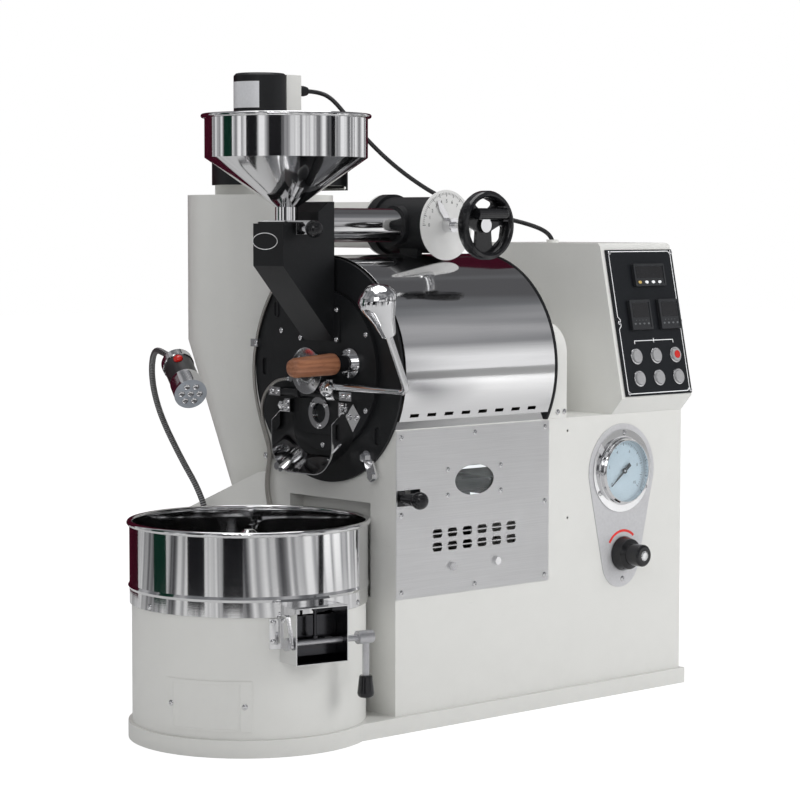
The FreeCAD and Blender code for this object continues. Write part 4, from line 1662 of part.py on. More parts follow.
def fasteners():
    """Every screw and bolt head that shows."""
    heads = front_screws() + side_screws()
    for x in (PANEL_X[0] + PANEL_SCREW_X[0], PANEL_X[1] - PANEL_SCREW_X[1]):
        for s in (PANEL_S[0] + PANEL_SCREW_S, sum(PANEL_S) / 2, PANEL_S[1] - PANEL_SCREW_S):
            heads.append(on_slope(screw(Vector(x, s, PANEL_THICK), Z, PANEL_SCREW_R)))
    save("fasteners", *heads)


os.makedirs("parts", exist_ok=True)
for build in (plinth, cabinet, rear_cover, access_panel,
              roasting_drum, drum_cover, rear_housing, gearmotors,
              front_plates, bearing_housing, front_fittings, discharge_scoop,
              tryer, discharge_door, door_lever, feed_chute, hopper, slide_gate,
              exhaust_pipe, damper_body, dial_plate, damper_flap, handwheel,
              cyclone_body, chaff_box, chaff_drawer, blower_housing, blower_motor, blower_impeller,
              tray_base, tray_ring, stirrer, tray_outlet, tray_gate,
              control_box, control_panel, display_units, button_bezels, push_buttons,
              gauge_plate, gauge, regulator_knob, air_lever, gas_burner,
              work_lamp, cables, fasteners):
    build()
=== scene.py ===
import json
import math

import bmesh
import bpy
from mathutils import Matrix, Vector

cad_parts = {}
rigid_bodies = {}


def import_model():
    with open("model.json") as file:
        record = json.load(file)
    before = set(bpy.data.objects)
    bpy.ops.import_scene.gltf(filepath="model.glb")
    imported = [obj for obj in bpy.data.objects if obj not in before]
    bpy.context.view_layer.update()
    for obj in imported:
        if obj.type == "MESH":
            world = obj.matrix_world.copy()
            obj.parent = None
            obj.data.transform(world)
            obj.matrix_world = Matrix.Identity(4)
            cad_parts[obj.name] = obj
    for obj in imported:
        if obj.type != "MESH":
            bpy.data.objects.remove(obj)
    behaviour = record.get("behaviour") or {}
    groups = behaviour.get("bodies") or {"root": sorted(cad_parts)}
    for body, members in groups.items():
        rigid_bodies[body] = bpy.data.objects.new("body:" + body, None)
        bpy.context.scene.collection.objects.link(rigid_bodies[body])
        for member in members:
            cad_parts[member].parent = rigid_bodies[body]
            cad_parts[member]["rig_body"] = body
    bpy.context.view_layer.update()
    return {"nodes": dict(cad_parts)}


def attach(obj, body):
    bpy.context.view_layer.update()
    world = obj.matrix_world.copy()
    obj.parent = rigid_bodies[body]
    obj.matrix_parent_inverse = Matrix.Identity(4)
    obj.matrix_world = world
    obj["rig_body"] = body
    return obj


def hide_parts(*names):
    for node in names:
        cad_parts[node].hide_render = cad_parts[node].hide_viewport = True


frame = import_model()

# ------------------------------------------------------------------ Camera, floor and light
# A plain pale studio: white floor, and broad soft boxes at the near left, at the right and above.
# Dark and tinted cards stand round the machine, because polished steel shows what is round it.

mm = 0.001
scene = bpy.context.scene
scene.view_settings.view_transform = "Standard"


def link(item):
    scene.collection.objects.link(item)
    return item


def piece(name, form, *finishes):
    """Object made of a bmesh, which is used up, with its finishes in order."""
    mesh = bpy.data.meshes.new(name)
    form.to_mesh(mesh)
    form.free()
    for material in finishes:
        mesh.materials.append(material)
    return link(bpy.data.objects.new(name, mesh))


optics = bpy.data.cameras.new("studio_camera")
optics.sensor_width = 36.0
optics.lens = 112.75
optics.clip_end = 60.0
camera = link(bpy.data.objects.new("studio_camera", optics))
camera.location = (-2.27823, -2.84427, 0.74967)
camera.rotation_mode = "XYZ"
camera.rotation_euler = (math.radians(90 - 4.07), math.radians(-0.05), math.radians(-42.16))
scene.camera = camera


class Wire:
    """A shader socket: arithmetic on it adds Math nodes, and node() adds any other node."""

    def __init__(self, tree, socket=None):
        self.tree = tree
        self.socket = socket

    def node(self, kind, settings, inputs, output=0):
        made = self.tree.nodes.new("ShaderNode" + kind)
        for name, value in settings.items():
            if name == "stops":
                ramp = made.color_ramp
                while len(ramp.elements) < len(value):
                    ramp.elements.new(0.5)
                for element, (place, tone) in zip(ramp.elements, value):
                    element.position = place
                    element.color = (*tone, 1.0)
            else:
                setattr(made, name, value)
        for name, value in inputs.items():
            if isinstance(value, Wire):
                self.tree.links.new(value.socket, made.inputs[name])
            else:
                made.inputs[name].default_value = value
        return Wire(self.tree, made.outputs[output])

    def math(self, operation, *others):
        return self.node("Math", {"operation": operation}, dict(enumerate((self,) + others)))

    def __add__(self, other):
        return self.math("ADD", other)

    def __sub__(self, other):
        return self.math("SUBTRACT", other)

    def __mul__(self, other):
        return self.math("MULTIPLY", other)

    def __radd__(self, other):
        return self.math("ADD", other)

    def __rsub__(self, other):
        return self.node("Math", {"operation": "SUBTRACT"}, {0: other, 1: self})

    def __rmul__(self, other):
        return self.math("MULTIPLY", other)

    def __gt__(self, other):
        return self.math("GREATER_THAN", other)


def studio_paper():
    """White paper: it keeps the shadow and looks white to the camera, but grey in polished steel."""
    made = bpy.data.materials.new("studio_paper")
    made.use_nodes = True
    tree = made.node_tree
    tree.nodes.clear()
    start = Wire(tree)
    mirrored = start.node("LightPath", {}, {}, "Is Glossy Ray")
    place = start.node("TexCoord", {}, {}, "Object")
    bearing = start.node("VectorMath", {"operation": "NORMALIZE"}, {0: place})
    folds = start.node("TexNoise", {}, {"Vector": bearing, "Scale": 4.5, "Detail": 3.0, "Roughness": 0.6},
                       "Fac")
    streaks = start.node("ValToRGB", {"stops": ((0.38, (0.06, 0.06, 0.065)), (0.47, (0.42, 0.42, 0.43)),
                                                (0.55, (0.9, 0.9, 0.9)))}, {"Fac": folds})
    distance = start.node("VectorMath", {"operation": "LENGTH"}, {0: place}, 1)
    far = ((distance - 0.9).math("MAXIMUM", 0.0) * 1.1).math("MINIMUM", 1.0) * mirrored
    near = start.node("Mix", {"data_type": "RGBA"},
                      {0: mirrored, 6: (0.9, 0.9, 0.9, 1.0), 7: (0.7, 0.7, 0.705, 1.0)}, 2)
    grey = start.node("Mix", {"data_type": "RGBA"}, {0: far, 6: near, 7: streaks}, 2)
    lit = start.node("BsdfDiffuse", {}, {"Color": grey})
    glow = start.node("Emission", {}, {"Color": (1.0, 1.0, 1.0, 1.0), "Strength": 1.27})
    share = start.node("LightPath", {}, {}, "Is Camera Ray") * 0.72
    both = start.node("MixShader", {}, {0: share, 1: lit, 2: glow})
    out = tree.nodes.new("ShaderNodeOutputMaterial")
    tree.links.new(both.socket, out.inputs["Surface"])
    return made


sheet = bmesh.new()
bmesh.ops.create_grid(sheet, x_segments=1, y_segments=1, size=14.0)
floor = piece("studio_floor", sheet, studio_paper())
floor.location = (0.3, 0.0, 0.0)

world = bpy.data.worlds.new("studio")
scene.world = world
world.use_nodes = True
world.node_tree.nodes.clear()
sky = Wire(world.node_tree)
room = sky.node("Background", {}, {"Color": (1.0, 1.0, 1.0, 1.0), "Strength": 0.42})
white = sky.node("Background", {}, {"Color": (1.0, 1.0, 1.0, 1.0), "Strength": 1.0})
gaze = sky.node("TexCoord", {}, {}, "Generated")
drapes = sky.node("Mapping", {}, {"Vector": gaze, "Scale": (3.2, 3.2, 0.25)})
folds = sky.node("TexNoise", {}, {"Vector": drapes, "Scale": 1.6, "Detail": 3.0, "Roughness": 0.6}, "Fac")
band = sky.node("ValToRGB", {"stops": ((0.36, (0.06, 0.06, 0.065)), (0.47, (0.42, 0.42, 0.43)),
                                       (0.55, (0.95, 0.95, 0.96)))}, {"Fac": folds})
soft = sky.node("TexNoise", {}, {"Vector": gaze, "Scale": 2.2, "Detail": 2.0}, "Fac")
upper = sky.node("ValToRGB", {"stops": ((0.36, (0.10, 0.10, 0.105)), (0.50, (0.19, 0.195, 0.205)),
                                        (0.64, (0.42, 0.42, 0.43)))}, {"Fac": soft})
height = sky.node("SeparateXYZ", {}, {"Vector": gaze}, 2)
lifted = ((height - 0.13).math("MAXIMUM", 0.0) * 6.0).math("MINIMUM", 1.0)
seen = sky.node("Mix", {"data_type": "RGBA"}, {0: lifted, 6: band, 7: upper}, 2)
hall = sky.node("Background", {}, {"Color": seen, "Strength": 1.0})
mirrored = sky.node("LightPath", {}, {}, "Is Glossy Ray")
straight = sky.node("LightPath", {}, {}, "Is Camera Ray")
straight = straight + sky.node("LightPath", {}, {}, "Is Transmission Ray")
inside = sky.node("MixShader", {}, {0: mirrored, 1: room, 2: hall})
both = sky.node("MixShader", {}, {0: straight.math("MINIMUM", 1.0), 1: inside, 2: white})
out = world.node_tree.nodes.new("ShaderNodeOutputWorld")
world.node_tree.links.new(both.socket, out.inputs["Surface"])


def softbox(name, place, target, size, power, mirrored=True):
    data = bpy.data.lights.new(name, "AREA")
    data.shape = "RECTANGLE"
    data.size, data.size_y = size
    data.energy = power
    lamp = link(bpy.data.objects.new(name, data))
    lamp.location = place
    lamp.rotation_mode = "QUATERNION"
    lamp.rotation_quaternion = (Vector(target) - Vector(place)).to_track_quat("-Z", "Y")
    lamp.visible_glossy = mirrored


softbox("softbox_near", (-2.6, -2.2, 2.3), (0.2, 0.0, 0.5), (1.6, 1.8), 20.0)
softbox("softbox_side", (2.4, -3.0, 1.7), (0.4, 0.0, 0.4), (1.5, 1.8), 54.0, mirrored=False)
softbox("softbox_above", (0.4, 0.3, 3.1), (0.3, 0.0, 0.4), (2.2, 1.8), 38.0)


def flag(name, start, end, tone, high, low=-0.05, reach=1.5):
    """Bent card round the machine, from one bearing to another, that only polished surfaces see."""
    made = bpy.data.materials.new(name)
    made.use_nodes = True
    shader = made.node_tree.nodes["Principled BSDF"]
    shader.inputs["Base Color"].default_value = (*tone, 1.0)
    shader.inputs["Roughness"].default_value = 1.0
    shader.inputs["Specular IOR Level"].default_value = 0.0
    card = bmesh.new()
    turn = math.radians(start)
    post = [card.verts.new((reach * math.cos(turn), reach * math.sin(turn), z)) for z in (low, high)]
    bmesh.ops.spin(card, geom=post + [card.edges.new(post)], cent=(0.0, 0.0, 0.0), axis=(0.0, 0.0, 1.0),
                   dvec=(0.0, 0.0, 0.0), angle=math.radians(end - start), steps=round((end - start) / 8),
                   use_merge=False, use_duplicate=False)
    item = piece(name, card, made)
    item.visible_camera = False
    item.visible_diffuse = False
    item.visible_shadow = False


maroon, pine, black_cloth = (0.05, 0.006, 0.015), (0.006, 0.03, 0.02), (0.012, 0.012, 0.014)
flag("flag_behind", 16.0, 104.0, maroon, 1.6)
flag("flag_left", 133.0, 150.0, pine, 1.45)
flag("flag_left_dark", 174.0, 191.0, black_cloth, 1.1)
flag("flag_camera", 208.0, 226.0, black_cloth, 1.1)
flag("flag_right", 297.0, 303.0, black_cloth, 1.3)
flag("flag_high", 215.0, 290.0, black_cloth, 2.25, low=1.95, reach=2.6)

# ------------------------------------------------------------------ Motor cable and probe cables
# One black sheathed cable runs from the blower's terminal box down to the grommet of the control
# box.  Two wire-braided probe leads leave glands on the plates and end in elbow glands below.

def finish(name, metallic=0.0, coat=0.0):
    """New material; returns it with its shader and the wire that its patterns grow from."""
    made = bpy.data.materials.new(name)
    made.use_nodes = True
    shader = made.node_tree.nodes["Principled BSDF"]
    shader.inputs["Metallic"].default_value = metallic
    shader.inputs["Coat Weight"].default_value = coat
    return made, shader, Wire(made.node_tree)


def coords(wire, kind="Object"):
    return wire.node("TexCoord", {}, {}, kind)


def noise(wire, place, scale, detail=3.0):
    return wire.node("TexNoise", {}, {"Vector": place, "Scale": scale, "Detail": detail}, "Fac")


def stretched(wire, place, scale):
    return wire.node("Mapping", {}, {"Vector": place, "Scale": scale})


def tint(wire, amount, dark, light):
    return wire.node("Mix", {"data_type": "RGBA"}, {0: amount, 6: (*dark, 1.0), 7: (*light, 1.0)}, 2)


def feed(shader, name, wire):
    wire.tree.links.new(wire.socket, shader.inputs[name])


def relief(shader, wire, height, distance, strength=1.0):
    bump = wire.node("Bump", {}, {"Height": height, "Distance": distance, "Strength": strength})
    feed(shader, "Normal", bump)


def sheathing():
    """Black cable sheath, dusty here and there."""
    made, shader, wire = finish("black_sheath")
    place = coords(wire)
    dust = noise(wire, place, 60.0)
    feed(shader, "Base Color", tint(wire, dust, (0.008, 0.008, 0.009), (0.03, 0.03, 0.032)))
    feed(shader, "Roughness", 0.32 + dust * 0.2)
    relief(shader, wire, noise(wire, place, 900.0), 0.0002, 0.4)
    return made


def braiding(turns):
    """Steel wire braid: two sets of strands that cross, one way round and the other."""
    made, shader, wire = finish("wire_braid", metallic=1.0)
    place = wire.node("SeparateXYZ", {}, {"Vector": coords(wire, "UV")}, 0)
    round_it = wire.node("SeparateXYZ", {}, {"Vector": coords(wire, "UV")}, 1)
    one = (place * turns + round_it * 4.0) * (2 * math.pi)
    other = (place * turns - round_it * 4.0) * (2 * math.pi)
    weave = one.math("SINE").math("MAXIMUM", other.math("SINE")) * 0.5 + 0.5
    feed(shader, "Base Color", tint(wire, weave, (0.10, 0.095, 0.09), (0.62, 0.60, 0.56)))
    feed(shader, "Roughness", 0.5 - weave * 0.2)
    relief(shader, wire, weave, 0.0004)
    return made


def tube(name, route, diameter, material):
    """Round bar along a route of points in mm, with its ends on the first and the last."""
    curve = bpy.data.curves.new(name, "CURVE")
    curve.dimensions = "3D"
    curve.bevel_depth = diameter / 2 * mm
    curve.bevel_resolution = 5
    curve.resolution_u = 14
    curve.use_fill_caps = True
    line = curve.splines.new("NURBS")
    line.points.add(len(route) - 1)
    for point, (x, y, z) in zip(line.points, route):
        point.co = (x * mm, y * mm, z * mm, 1.0)
    line.order_u = 3
    line.use_endpoint_u = True
    curve.materials.append(material)
    item = link(bpy.data.objects.new(name, curve))
    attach(item, "frame")
    return item


def cable(name, node, route, diameter, length, material, slot, **facts):
    item = tube(name, route, diameter, material)
    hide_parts(node)
    return item


cable("blower_lead", "motor_cable",
      ((374, 312, 962), (392, 309, 962), (407, 290, 953), (423, 264, 918), (446, 230, 872),
       (478, 192, 828), (520, 145, 787), (565, 95, 764), (596, 60, 753), (616, 37, 745),
       (631, 20, 736), (639, 10, 724), (640, 8, 712)),
      7.2, 496.0, sheathing(), "cable_black", stiffness="medium", lay="hanging")
cable("bean_probe_lead", "probe_cable",
      ((130, 66, 513), (128.5, 84, 512), (127, 102, 503.5), (126.5, 117.5, 489.5), (128, 127.5, 471.5),
       (131.5, 130.5, 451), (136, 127, 430.5), (141, 124, 410.5), (145.5, 127.5, 390.5),
       (148, 134.5, 371), (148.5, 138.5, 351), (148.5, 136.5, 331), (148.5, 131, 313)),
      5.0, 242.0, braiding(80.0), "braid", stiffness="stiff", lay="taut")
cable("air_probe_lead", "rim_cable",
      ((128, 62, 690), (133, 81, 687), (141, 99, 674), (146, 116, 653.5), (146, 134, 630),
       (146, 149.5, 603), (146, 160, 575), (146, 167, 546), (146, 169, 516), (146, 165, 486),
       (146.5, 157.5, 458), (147.5, 147, 430), (149, 137.5, 405), (150, 136.5, 388),
       (150.8, 141.5, 371), (151, 145.8, 351), (151, 144.5, 331), (151, 139.5, 313)),
      5.0, 430.0, braiding(142.0), "braid", stiffness="stiff", lay="taut")

# ------------------------------------------------------------------ Plinth, cabinet and white housings
# Folded sheet steel, 1.5 mm, powder-coated a warm white.  Every folded or sheared edge is eased,
# and the coat has a fine orange peel, with a little dust low down.

def powder_coat(name, tone):
    made, shader, wire = finish(name, coat=0.25)
    place = coords(wire)
    cloudy = noise(wire, place, 3.0)
    fine = noise(wire, place, 38.0, 5.0)
    height = wire.node("SeparateXYZ", {}, {"Vector": place}, 2)
    dust = (0.12 - height).math("MAXIMUM", 0.0) * 1.6 * fine
    rubbed = noise(wire, stretched(wire, place, (6.0, 6.0, 22.0)), 9.0, 8.0)
    scuff = (rubbed - 0.66).math("MAXIMUM", 0.0) * 2.2
    worn = (cloudy * 0.35 + fine * 0.2 + dust + scuff).math("MINIMUM", 1.0)
    feed(shader, "Base Color", tint(wire, worn, tone, [v * 0.84 for v in tone]))
    feed(shader, "Roughness", 0.34 + fine * 0.16 + dust * 0.3)
    relief(shader, wire, noise(wire, place, 620.0, 2.0), 0.0003, 0.25)
    return made


def dress(node, finishes, edge=0.5, choose=None, smooth=36.0):
    """A part as it is made: its edges eased by `edge` mm, its curved faces smooth, its finish on.
    With several finishes, choose gives the number of a face's finish from its centre in mm."""
    raw = frame["nodes"][node]
    form = bmesh.new()
    form.from_mesh(raw.data)
    bmesh.ops.remove_doubles(form, verts=form.verts, dist=0.00001)
    bmesh.ops.dissolve_limit(form, angle_limit=math.radians(0.6), verts=form.verts, edges=form.edges,
                             delimit={"NORMAL"})
    limit = math.radians(smooth)
    if edge:
        sharp = [e for e in form.edges if len(e.link_faces) == 2 and e.calc_face_angle() > limit]
        bmesh.ops.bevel(form, geom=sharp, offset=edge * mm, offset_type="OFFSET", segments=2, profile=0.5,
                        affect="EDGES", clamp_overlap=True, material=-1)
    gone = []
    for face in form.faces:
        face.smooth = True
        if choose:
            number = choose(face.calc_center_median() / mm)
            if number is None:
                gone.append(face)
            else:
                face.material_index = number
    bmesh.ops.delete(form, geom=gone, context="FACES")
    for e in form.edges:
        e.smooth = len(e.link_faces) == 2 and e.calc_face_angle() < limit
    item = piece(node + "_finished", form, *finishes)
    item.modifiers.new("flat_faces", "WEIGHTED_NORMAL").keep_sharp = True
    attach(item, raw["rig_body"])
    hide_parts(node)
    return item


cream = powder_coat("cream_powder_coat", (0.785, 0.785, 0.76))
for node in ("base_plinth", "cabinet_shell", "rear_cover", "chaff_box", "chaff_drawer", "tray_base",
             "control_box", "cyclone_body"):
    dress(node, [cream], 0.6)

# ------------------------------------------------------------------ Black enamelled parts
# The plates round the drum's mouth, the door, the feed chute, the damper's casting and the blower
# are painted with stoved black enamel, half glossy, that shows dust and rubbed edges.

def enamel(name, rough, grain):
    made, shader, wire = finish(name)
    shader.inputs["Specular IOR Level"].default_value = 0.25
    place = coords(wire)
    cloudy = noise(wire, place, 14.0, 6.0)
    specks = (noise(wire, place, 420.0, 2.0) - 0.62).math("MAXIMUM", 0.0) * 2.0
    worn = cloudy * 0.5 + specks
    feed(shader, "Base Color", tint(wire, worn, (0.008, 0.0085, 0.0095), (0.03, 0.031, 0.034)))
    feed(shader, "Roughness", rough + cloudy * 0.18)
    relief(shader, wire, noise(wire, place, grain, 3.0), 0.0004, 0.3)
    return made


black_enamel = enamel("black_enamel", 0.3, 500.0)
black_casting = enamel("black_casting", 0.42, 260.0)
for node in ("front_plate", "discharge_door", "feed_chute"):
    dress(node, [black_enamel], 0.7)
end_plate_back = 467.2          # the housing behind it is white
blower_foot = 808.05            # its flange below is white
motor_axis, motor_radius = Vector((276.0, 312.0, 0.0)), 43.0


def terminal_box(at):
    """1 on the white box of terminals at the motor's side, 0 on the motor."""
    off_axis = math.hypot(at.x - motor_axis.x, at.y - motor_axis.y)
    return int(318.0 < at.x < 346.5 and at.z > 915.0 and off_axis > motor_radius + 0.5)


dress("rear_housing", [cream, black_enamel], 0.6, lambda at: int(at.x < end_plate_back))
dress("damper_body", [black_casting], 1.2)
dress("blower_housing", [cream, black_enamel], 1.2, lambda at: int(at.z > blower_foot))
dress("blower_motor", [black_enamel, cream], 1.2, terminal_box)

# ------------------------------------------------------------------ Polished and plated steel
# The drum's cover, hopper, tray, scoop, pipe and the fittings are polished stainless steel or
# bright chrome.  The steel is rolled, so faint long scratches follow it, and hands leave smears.
# Inside, the tray's spout and the flap in it are duller and painted near black, as painted shade.

def polished(name, tone, rough, along, smear=0.12, grain=0.35):
    made, shader, wire = finish(name, metallic=1.0)
    place = coords(wire)
    lines = noise(wire, stretched(wire, place, along), 1.0, 4.0)
    hands = noise(wire, place, 7.0, 5.0)
    marks = (hands - 0.5).math("MAXIMUM", 0.0)
    feed(shader, "Base Color", tint(wire, lines * 0.4 + marks, tone, [v * 0.86 for v in tone]))
    feed(shader, "Roughness", rough + marks * smear + lines * 0.05)
    relief(shader, wire, lines, 0.00005, grain)
    return made


steel = (0.80, 0.80, 0.805)
mirror_x = polished("mirror_steel_rolled_along", steel, 0.05, (14.0, 420.0, 420.0))
mirror_z = polished("mirror_steel_rolled_round", steel, 0.045, (30.0, 30.0, 700.0), grain=0.1)
# Near-black steel for the spout's inside and its flap: painted shade where the spout lies deep in shadow.
painted_shade_steel = polished("steel_with_painted_shade", (0.07, 0.07, 0.075), 0.2, (30.0, 30.0, 700.0))
chrome = polished("bright_chrome", (0.82, 0.82, 0.83), 0.06, (60.0, 60.0, 60.0), 0.2)
spout_turn = math.radians(10.0)
spout_inside, spout_mouth, spout_low, spout_high = 41.2, -211.0, 135.4, 213.8


def from_spout(at):
    """A point's place across and along the spout, which stands 10 degrees round the tray."""
    return (at.x * math.cos(spout_turn) - at.y * math.sin(spout_turn),
            at.x * math.sin(spout_turn) + at.y * math.cos(spout_turn))


def spout_zone(at):
    """1 on the inner faces of the spout, which are painted dark as shade."""
    across, along = from_spout(at)
    return int(abs(across) < spout_inside and along > spout_mouth and spout_low < at.z < spout_high)


dress("drum_cover", [mirror_x], 0.4)
dress("exhaust_pipe", [mirror_x], 0.3)
for node in ("hopper", "discharge_scoop"):
    dress(node, [mirror_z], 0.3)
dress("tray_ring", [mirror_z], 0.0, smooth=20.0)
dress("tray_outlet", [mirror_z, painted_shade_steel], 0.3, spout_zone)
for node, edge in (("bearing_housing", 0.8), ("front_fittings", 0.6), ("tryer", 0.3), ("door_lever", 0.5),
                   ("damper_flap", 0.4), ("stirrer", 0.5), ("button_bezels", 0.3), ("fasteners", 0.25)):
    dress(node, [chrome], edge)

# ------------------------------------------------------------------ Brushed sheet
# The access panel and the gauge's backing plate are stainless and aluminium sheet with a fine
# lengthwise brushing, screwed to the cabinet.

def brushed(name, tone, rough, along, metallic=1.0):
    made, shader, wire = finish(name, metallic=metallic)
    place = coords(wire)
    lines = noise(wire, stretched(wire, place, along), 1.0, 6.0)
    cloudy = noise(wire, place, 9.0, 4.0)
    feed(shader, "Base Color", tint(wire, lines * 0.6 + cloudy * 0.3, tone, [v * 0.72 for v in tone]))
    feed(shader, "Roughness", rough + lines * 0.16 + cloudy * 0.06)
    relief(shader, wire, lines, 0.00006, 0.5)
    return made


brushed_panel = brushed("brushed_panel", (0.86, 0.86, 0.865), 0.26, (12.0, 900.0, 900.0))
dress("access_panel", [brushed_panel], 0.25)
satin = brushed("satin_aluminium", (0.74, 0.74, 0.76), 0.34, (220.0, 220.0, 220.0))
pale = brushed("pale_anodised", (0.74, 0.74, 0.76), 0.36, (220.0, 220.0, 220.0), metallic=0.3)
dress("gauge_plate", [pale], 0.3)
gauge_x, gauge_z, bezel_radius = 637.0, 356.5, 54.0
dress("gauge_case", [chrome, pale], 0.5,
      lambda at: int(math.hypot(at.x - gauge_x, at.z - gauge_z) > bezel_radius))
dress("blower_impeller", [satin], 0.0)
dress("gearmotors", [satin], 0.8)
dull = brushed("heat_dulled_steel", (0.32, 0.29, 0.26), 0.4, (30.0, 300.0, 300.0))
dress("roasting_drum", [dull], 0.0)
dress("gas_burner", [black_casting], 0.0)

# ------------------------------------------------------------------ Blank plate of the blower's motor
# Thin aluminium foil, glued round the motor's can on the side that faces the operator.  Nothing
# is printed on it.

plate_start, plate_sweep = math.radians(155.0), math.radians(74.0)
plate_low, plate_high = 931.0, 973.0
plate_inner, plate_outer = motor_radius - 0.4, motor_radius + 0.3
foil = bmesh.new()
out = Vector((math.cos(plate_start), math.sin(plate_start), 0.0))
corners = [foil.verts.new((motor_axis + out * radius + Vector((0.0, 0.0, z))) * mm)
           for radius, z in ((plate_inner, plate_low), (plate_outer, plate_low),
                             (plate_outer, plate_high), (plate_inner, plate_high))]
end_face = foil.faces.new(corners)
bmesh.ops.spin(foil, geom=corners + list(end_face.edges) + [end_face], cent=motor_axis * mm,
               axis=(0.0, 0.0, 1.0), dvec=(0.0, 0.0, 0.0), angle=plate_sweep, steps=20,
               use_merge=False, use_duplicate=False)
bmesh.ops.recalc_face_normals(foil, faces=foil.faces)
plate_foil = brushed("plate_foil", (0.88, 0.89, 0.92), 0.3, (260.0, 260.0, 260.0), metallic=0.15)
motor_plate = piece("motor_plate", foil, plate_foil)
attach(motor_plate, "frame")

# ------------------------------------------------------------------ Wooden grip and black knobs
# The tryer's grip is turned from oiled reddish hardwood over a black ferrule.  The knobs, the
# handwheel and the regulator are moulded black plastic with a deep gloss.

def turned_wood():
    made, shader, wire = finish("oiled_hardwood", coat=0.15)
    place = coords(wire)
    grain = noise(wire, stretched(wire, place, (18.0, 160.0, 160.0)), 1.0, 6.0)
    pores = noise(wire, stretched(wire, place, (60.0, 900.0, 900.0)), 1.0, 2.0)
    height = wire.node("SeparateXYZ", {}, {"Vector": place}, 2)
    bands = (height * 900.0 + grain * 9.0).math("SINE") * 0.5 + 0.5
    mix = (bands * 0.45 + grain * 0.6 - (pores > 0.62) * 0.35).math("MAXIMUM", 0.0)
    feed(shader, "Base Color", tint(wire, mix, (0.19, 0.065, 0.03), (0.42, 0.18, 0.09)))
    feed(shader, "Roughness", 0.38 + pores * 0.2)
    relief(shader, wire, pores, 0.0003, 0.3)
    return made


def moulded(name, tone, rough):
    made, shader, wire = finish(name, coat=0.25)
    shader.inputs["Specular IOR Level"].default_value = 0.35
    place = coords(wire)
    cloudy = noise(wire, place, 30.0, 4.0)
    feed(shader, "Base Color", tint(wire, cloudy, tone, [v * 1.9 + 0.004 for v in tone]))
    feed(shader, "Roughness", rough + cloudy * 0.1)
    relief(shader, wire, noise(wire, place, 700.0), 0.0001, 0.3)
    return made


black_gloss = moulded("black_gloss_moulding", (0.006, 0.006, 0.007), 0.14)
ferrule_start = 108.4
dress("tryer_handle", [turned_wood(), black_gloss], 0.3, lambda at: int(at.x > ferrule_start))
for node in ("wheel_grip", "air_lever"):
    dress(node, [black_gloss], 1.0)
damper_x, damper_z, wheel_nut_back, wheel_nut_radius = 338.5, 744.5, -140.0, 9.6
regulator_x, regulator_z, knob_screw_back, knob_screw_radius = 640.5, 224.3, -196.5, 12.0


def wheel_zone(at):
    """1 on the bright nut at the handwheel's middle."""
    return int(at.y < wheel_nut_back and math.hypot(at.x - damper_x, at.z - damper_z) < wheel_nut_radius)


def knob_zone(at):
    """1 on the bright screw in the regulator's end."""
    off_axis = math.hypot(at.x - regulator_x, at.z - regulator_z)
    return int(at.y < knob_screw_back and off_axis < knob_screw_radius)


dress("handwheel", [black_gloss, chrome], 1.0, wheel_zone)
dress("regulator_knob", [black_gloss, chrome], 1.0, knob_zone)
gate_knob_back, flap_half, flap_front, flap_grip_top = -42.3, 41.0, -182.5, 108.9
dress("slide_gate", [chrome, black_gloss], 0.4, lambda at: int(at.y < gate_knob_back))


def flap_zone(at):
    """2 on the flap inside the spout, painted dark as shade; 1 on the lever's grip, 0 on the shaft and the
    lever.
    """
    across, along = from_spout(at)
    return 2 if abs(across) < flap_half and along > flap_front else int(at.z < flap_grip_top)


dress("tray_gate", [satin, black_gloss, painted_shade_steel], 0.5, flap_zone)

# ------------------------------------------------------------------ Control panel
# Black printed film over the sloped plate, a white line round it, a timer with four keys, two
# temperature controllers and six flush buttons in bright bezels.

def printed_film():
    made, shader, wire = finish("panel_film")
    shader.inputs["Specular IOR Level"].default_value = 0.2
    place = coords(wire)
    fine = noise(wire, place, 500.0, 3.0)
    feed(shader, "Base Color", tint(wire, fine, (0.006, 0.007, 0.009), (0.016, 0.018, 0.021)))
    feed(shader, "Roughness", 0.32 + fine * 0.14)
    relief(shader, wire, fine, 0.0001, 0.3)
    return made


def on_face(x, y, z, lean=90.0):
    """Plane that looks towards -Y, leaned back from level by `lean` degrees: x along it, y up it."""
    return Matrix.Translation(Vector((x, y, z)) * mm) @ Matrix.Rotation(math.radians(lean), 4, "X")


def patch(form, outline, thick=0.15):
    """Flat piece with this outline in mm, laid on the form's own plane."""
    low = [form.verts.new((x * mm, y * mm, 0.0)) for x, y in outline]
    made = bmesh.ops.extrude_face_region(form, geom=[form.faces.new(low)])
    top = [v for v in made["geom"] if isinstance(v, bmesh.types.BMVert)]
    bmesh.ops.translate(form, verts=top, vec=(0.0, 0.0, thick * mm))


def stroke(form, start, end, width):
    start, end = Vector(start), Vector(end)
    side = (end - start).orthogonal().normalized() * width / 2
    patch(form, (start - side, end - side, end + side, start + side))


def oval(x, y, half_width, half_height, count=24):
    turns = [2 * math.pi * i / count for i in range(count)]
    return [(x + half_width * math.cos(t), y + half_height * math.sin(t)) for t in turns]


def figure(form, text, size, x, y):
    """Plain printed number, `size` mm high, centred on a point."""
    curve = bpy.data.curves.new("figure", "FONT")
    curve.body = text
    curve.size = size / 0.7 * mm
    curve.align_x, curve.align_y = "CENTER", "CENTER"
    curve.extrude = 0.07 * mm
    curve.resolution_u = 3
    mesh = bpy.data.meshes.new_from_object(bpy.data.objects.new("figure", curve))
    mesh.transform(Matrix.Translation((x * mm, y * mm, 0.07 * mm)))
    form.from_mesh(mesh)


def settle(name, form, place, material, body="frame"):
    """Put a small flat form on its surface, with its finish."""
    bmesh.ops.recalc_face_normals(form, faces=form.faces)
    bmesh.ops.transform(form, matrix=place, verts=form.verts)
    item = piece(name, form, material)
    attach(item, body)
    return item


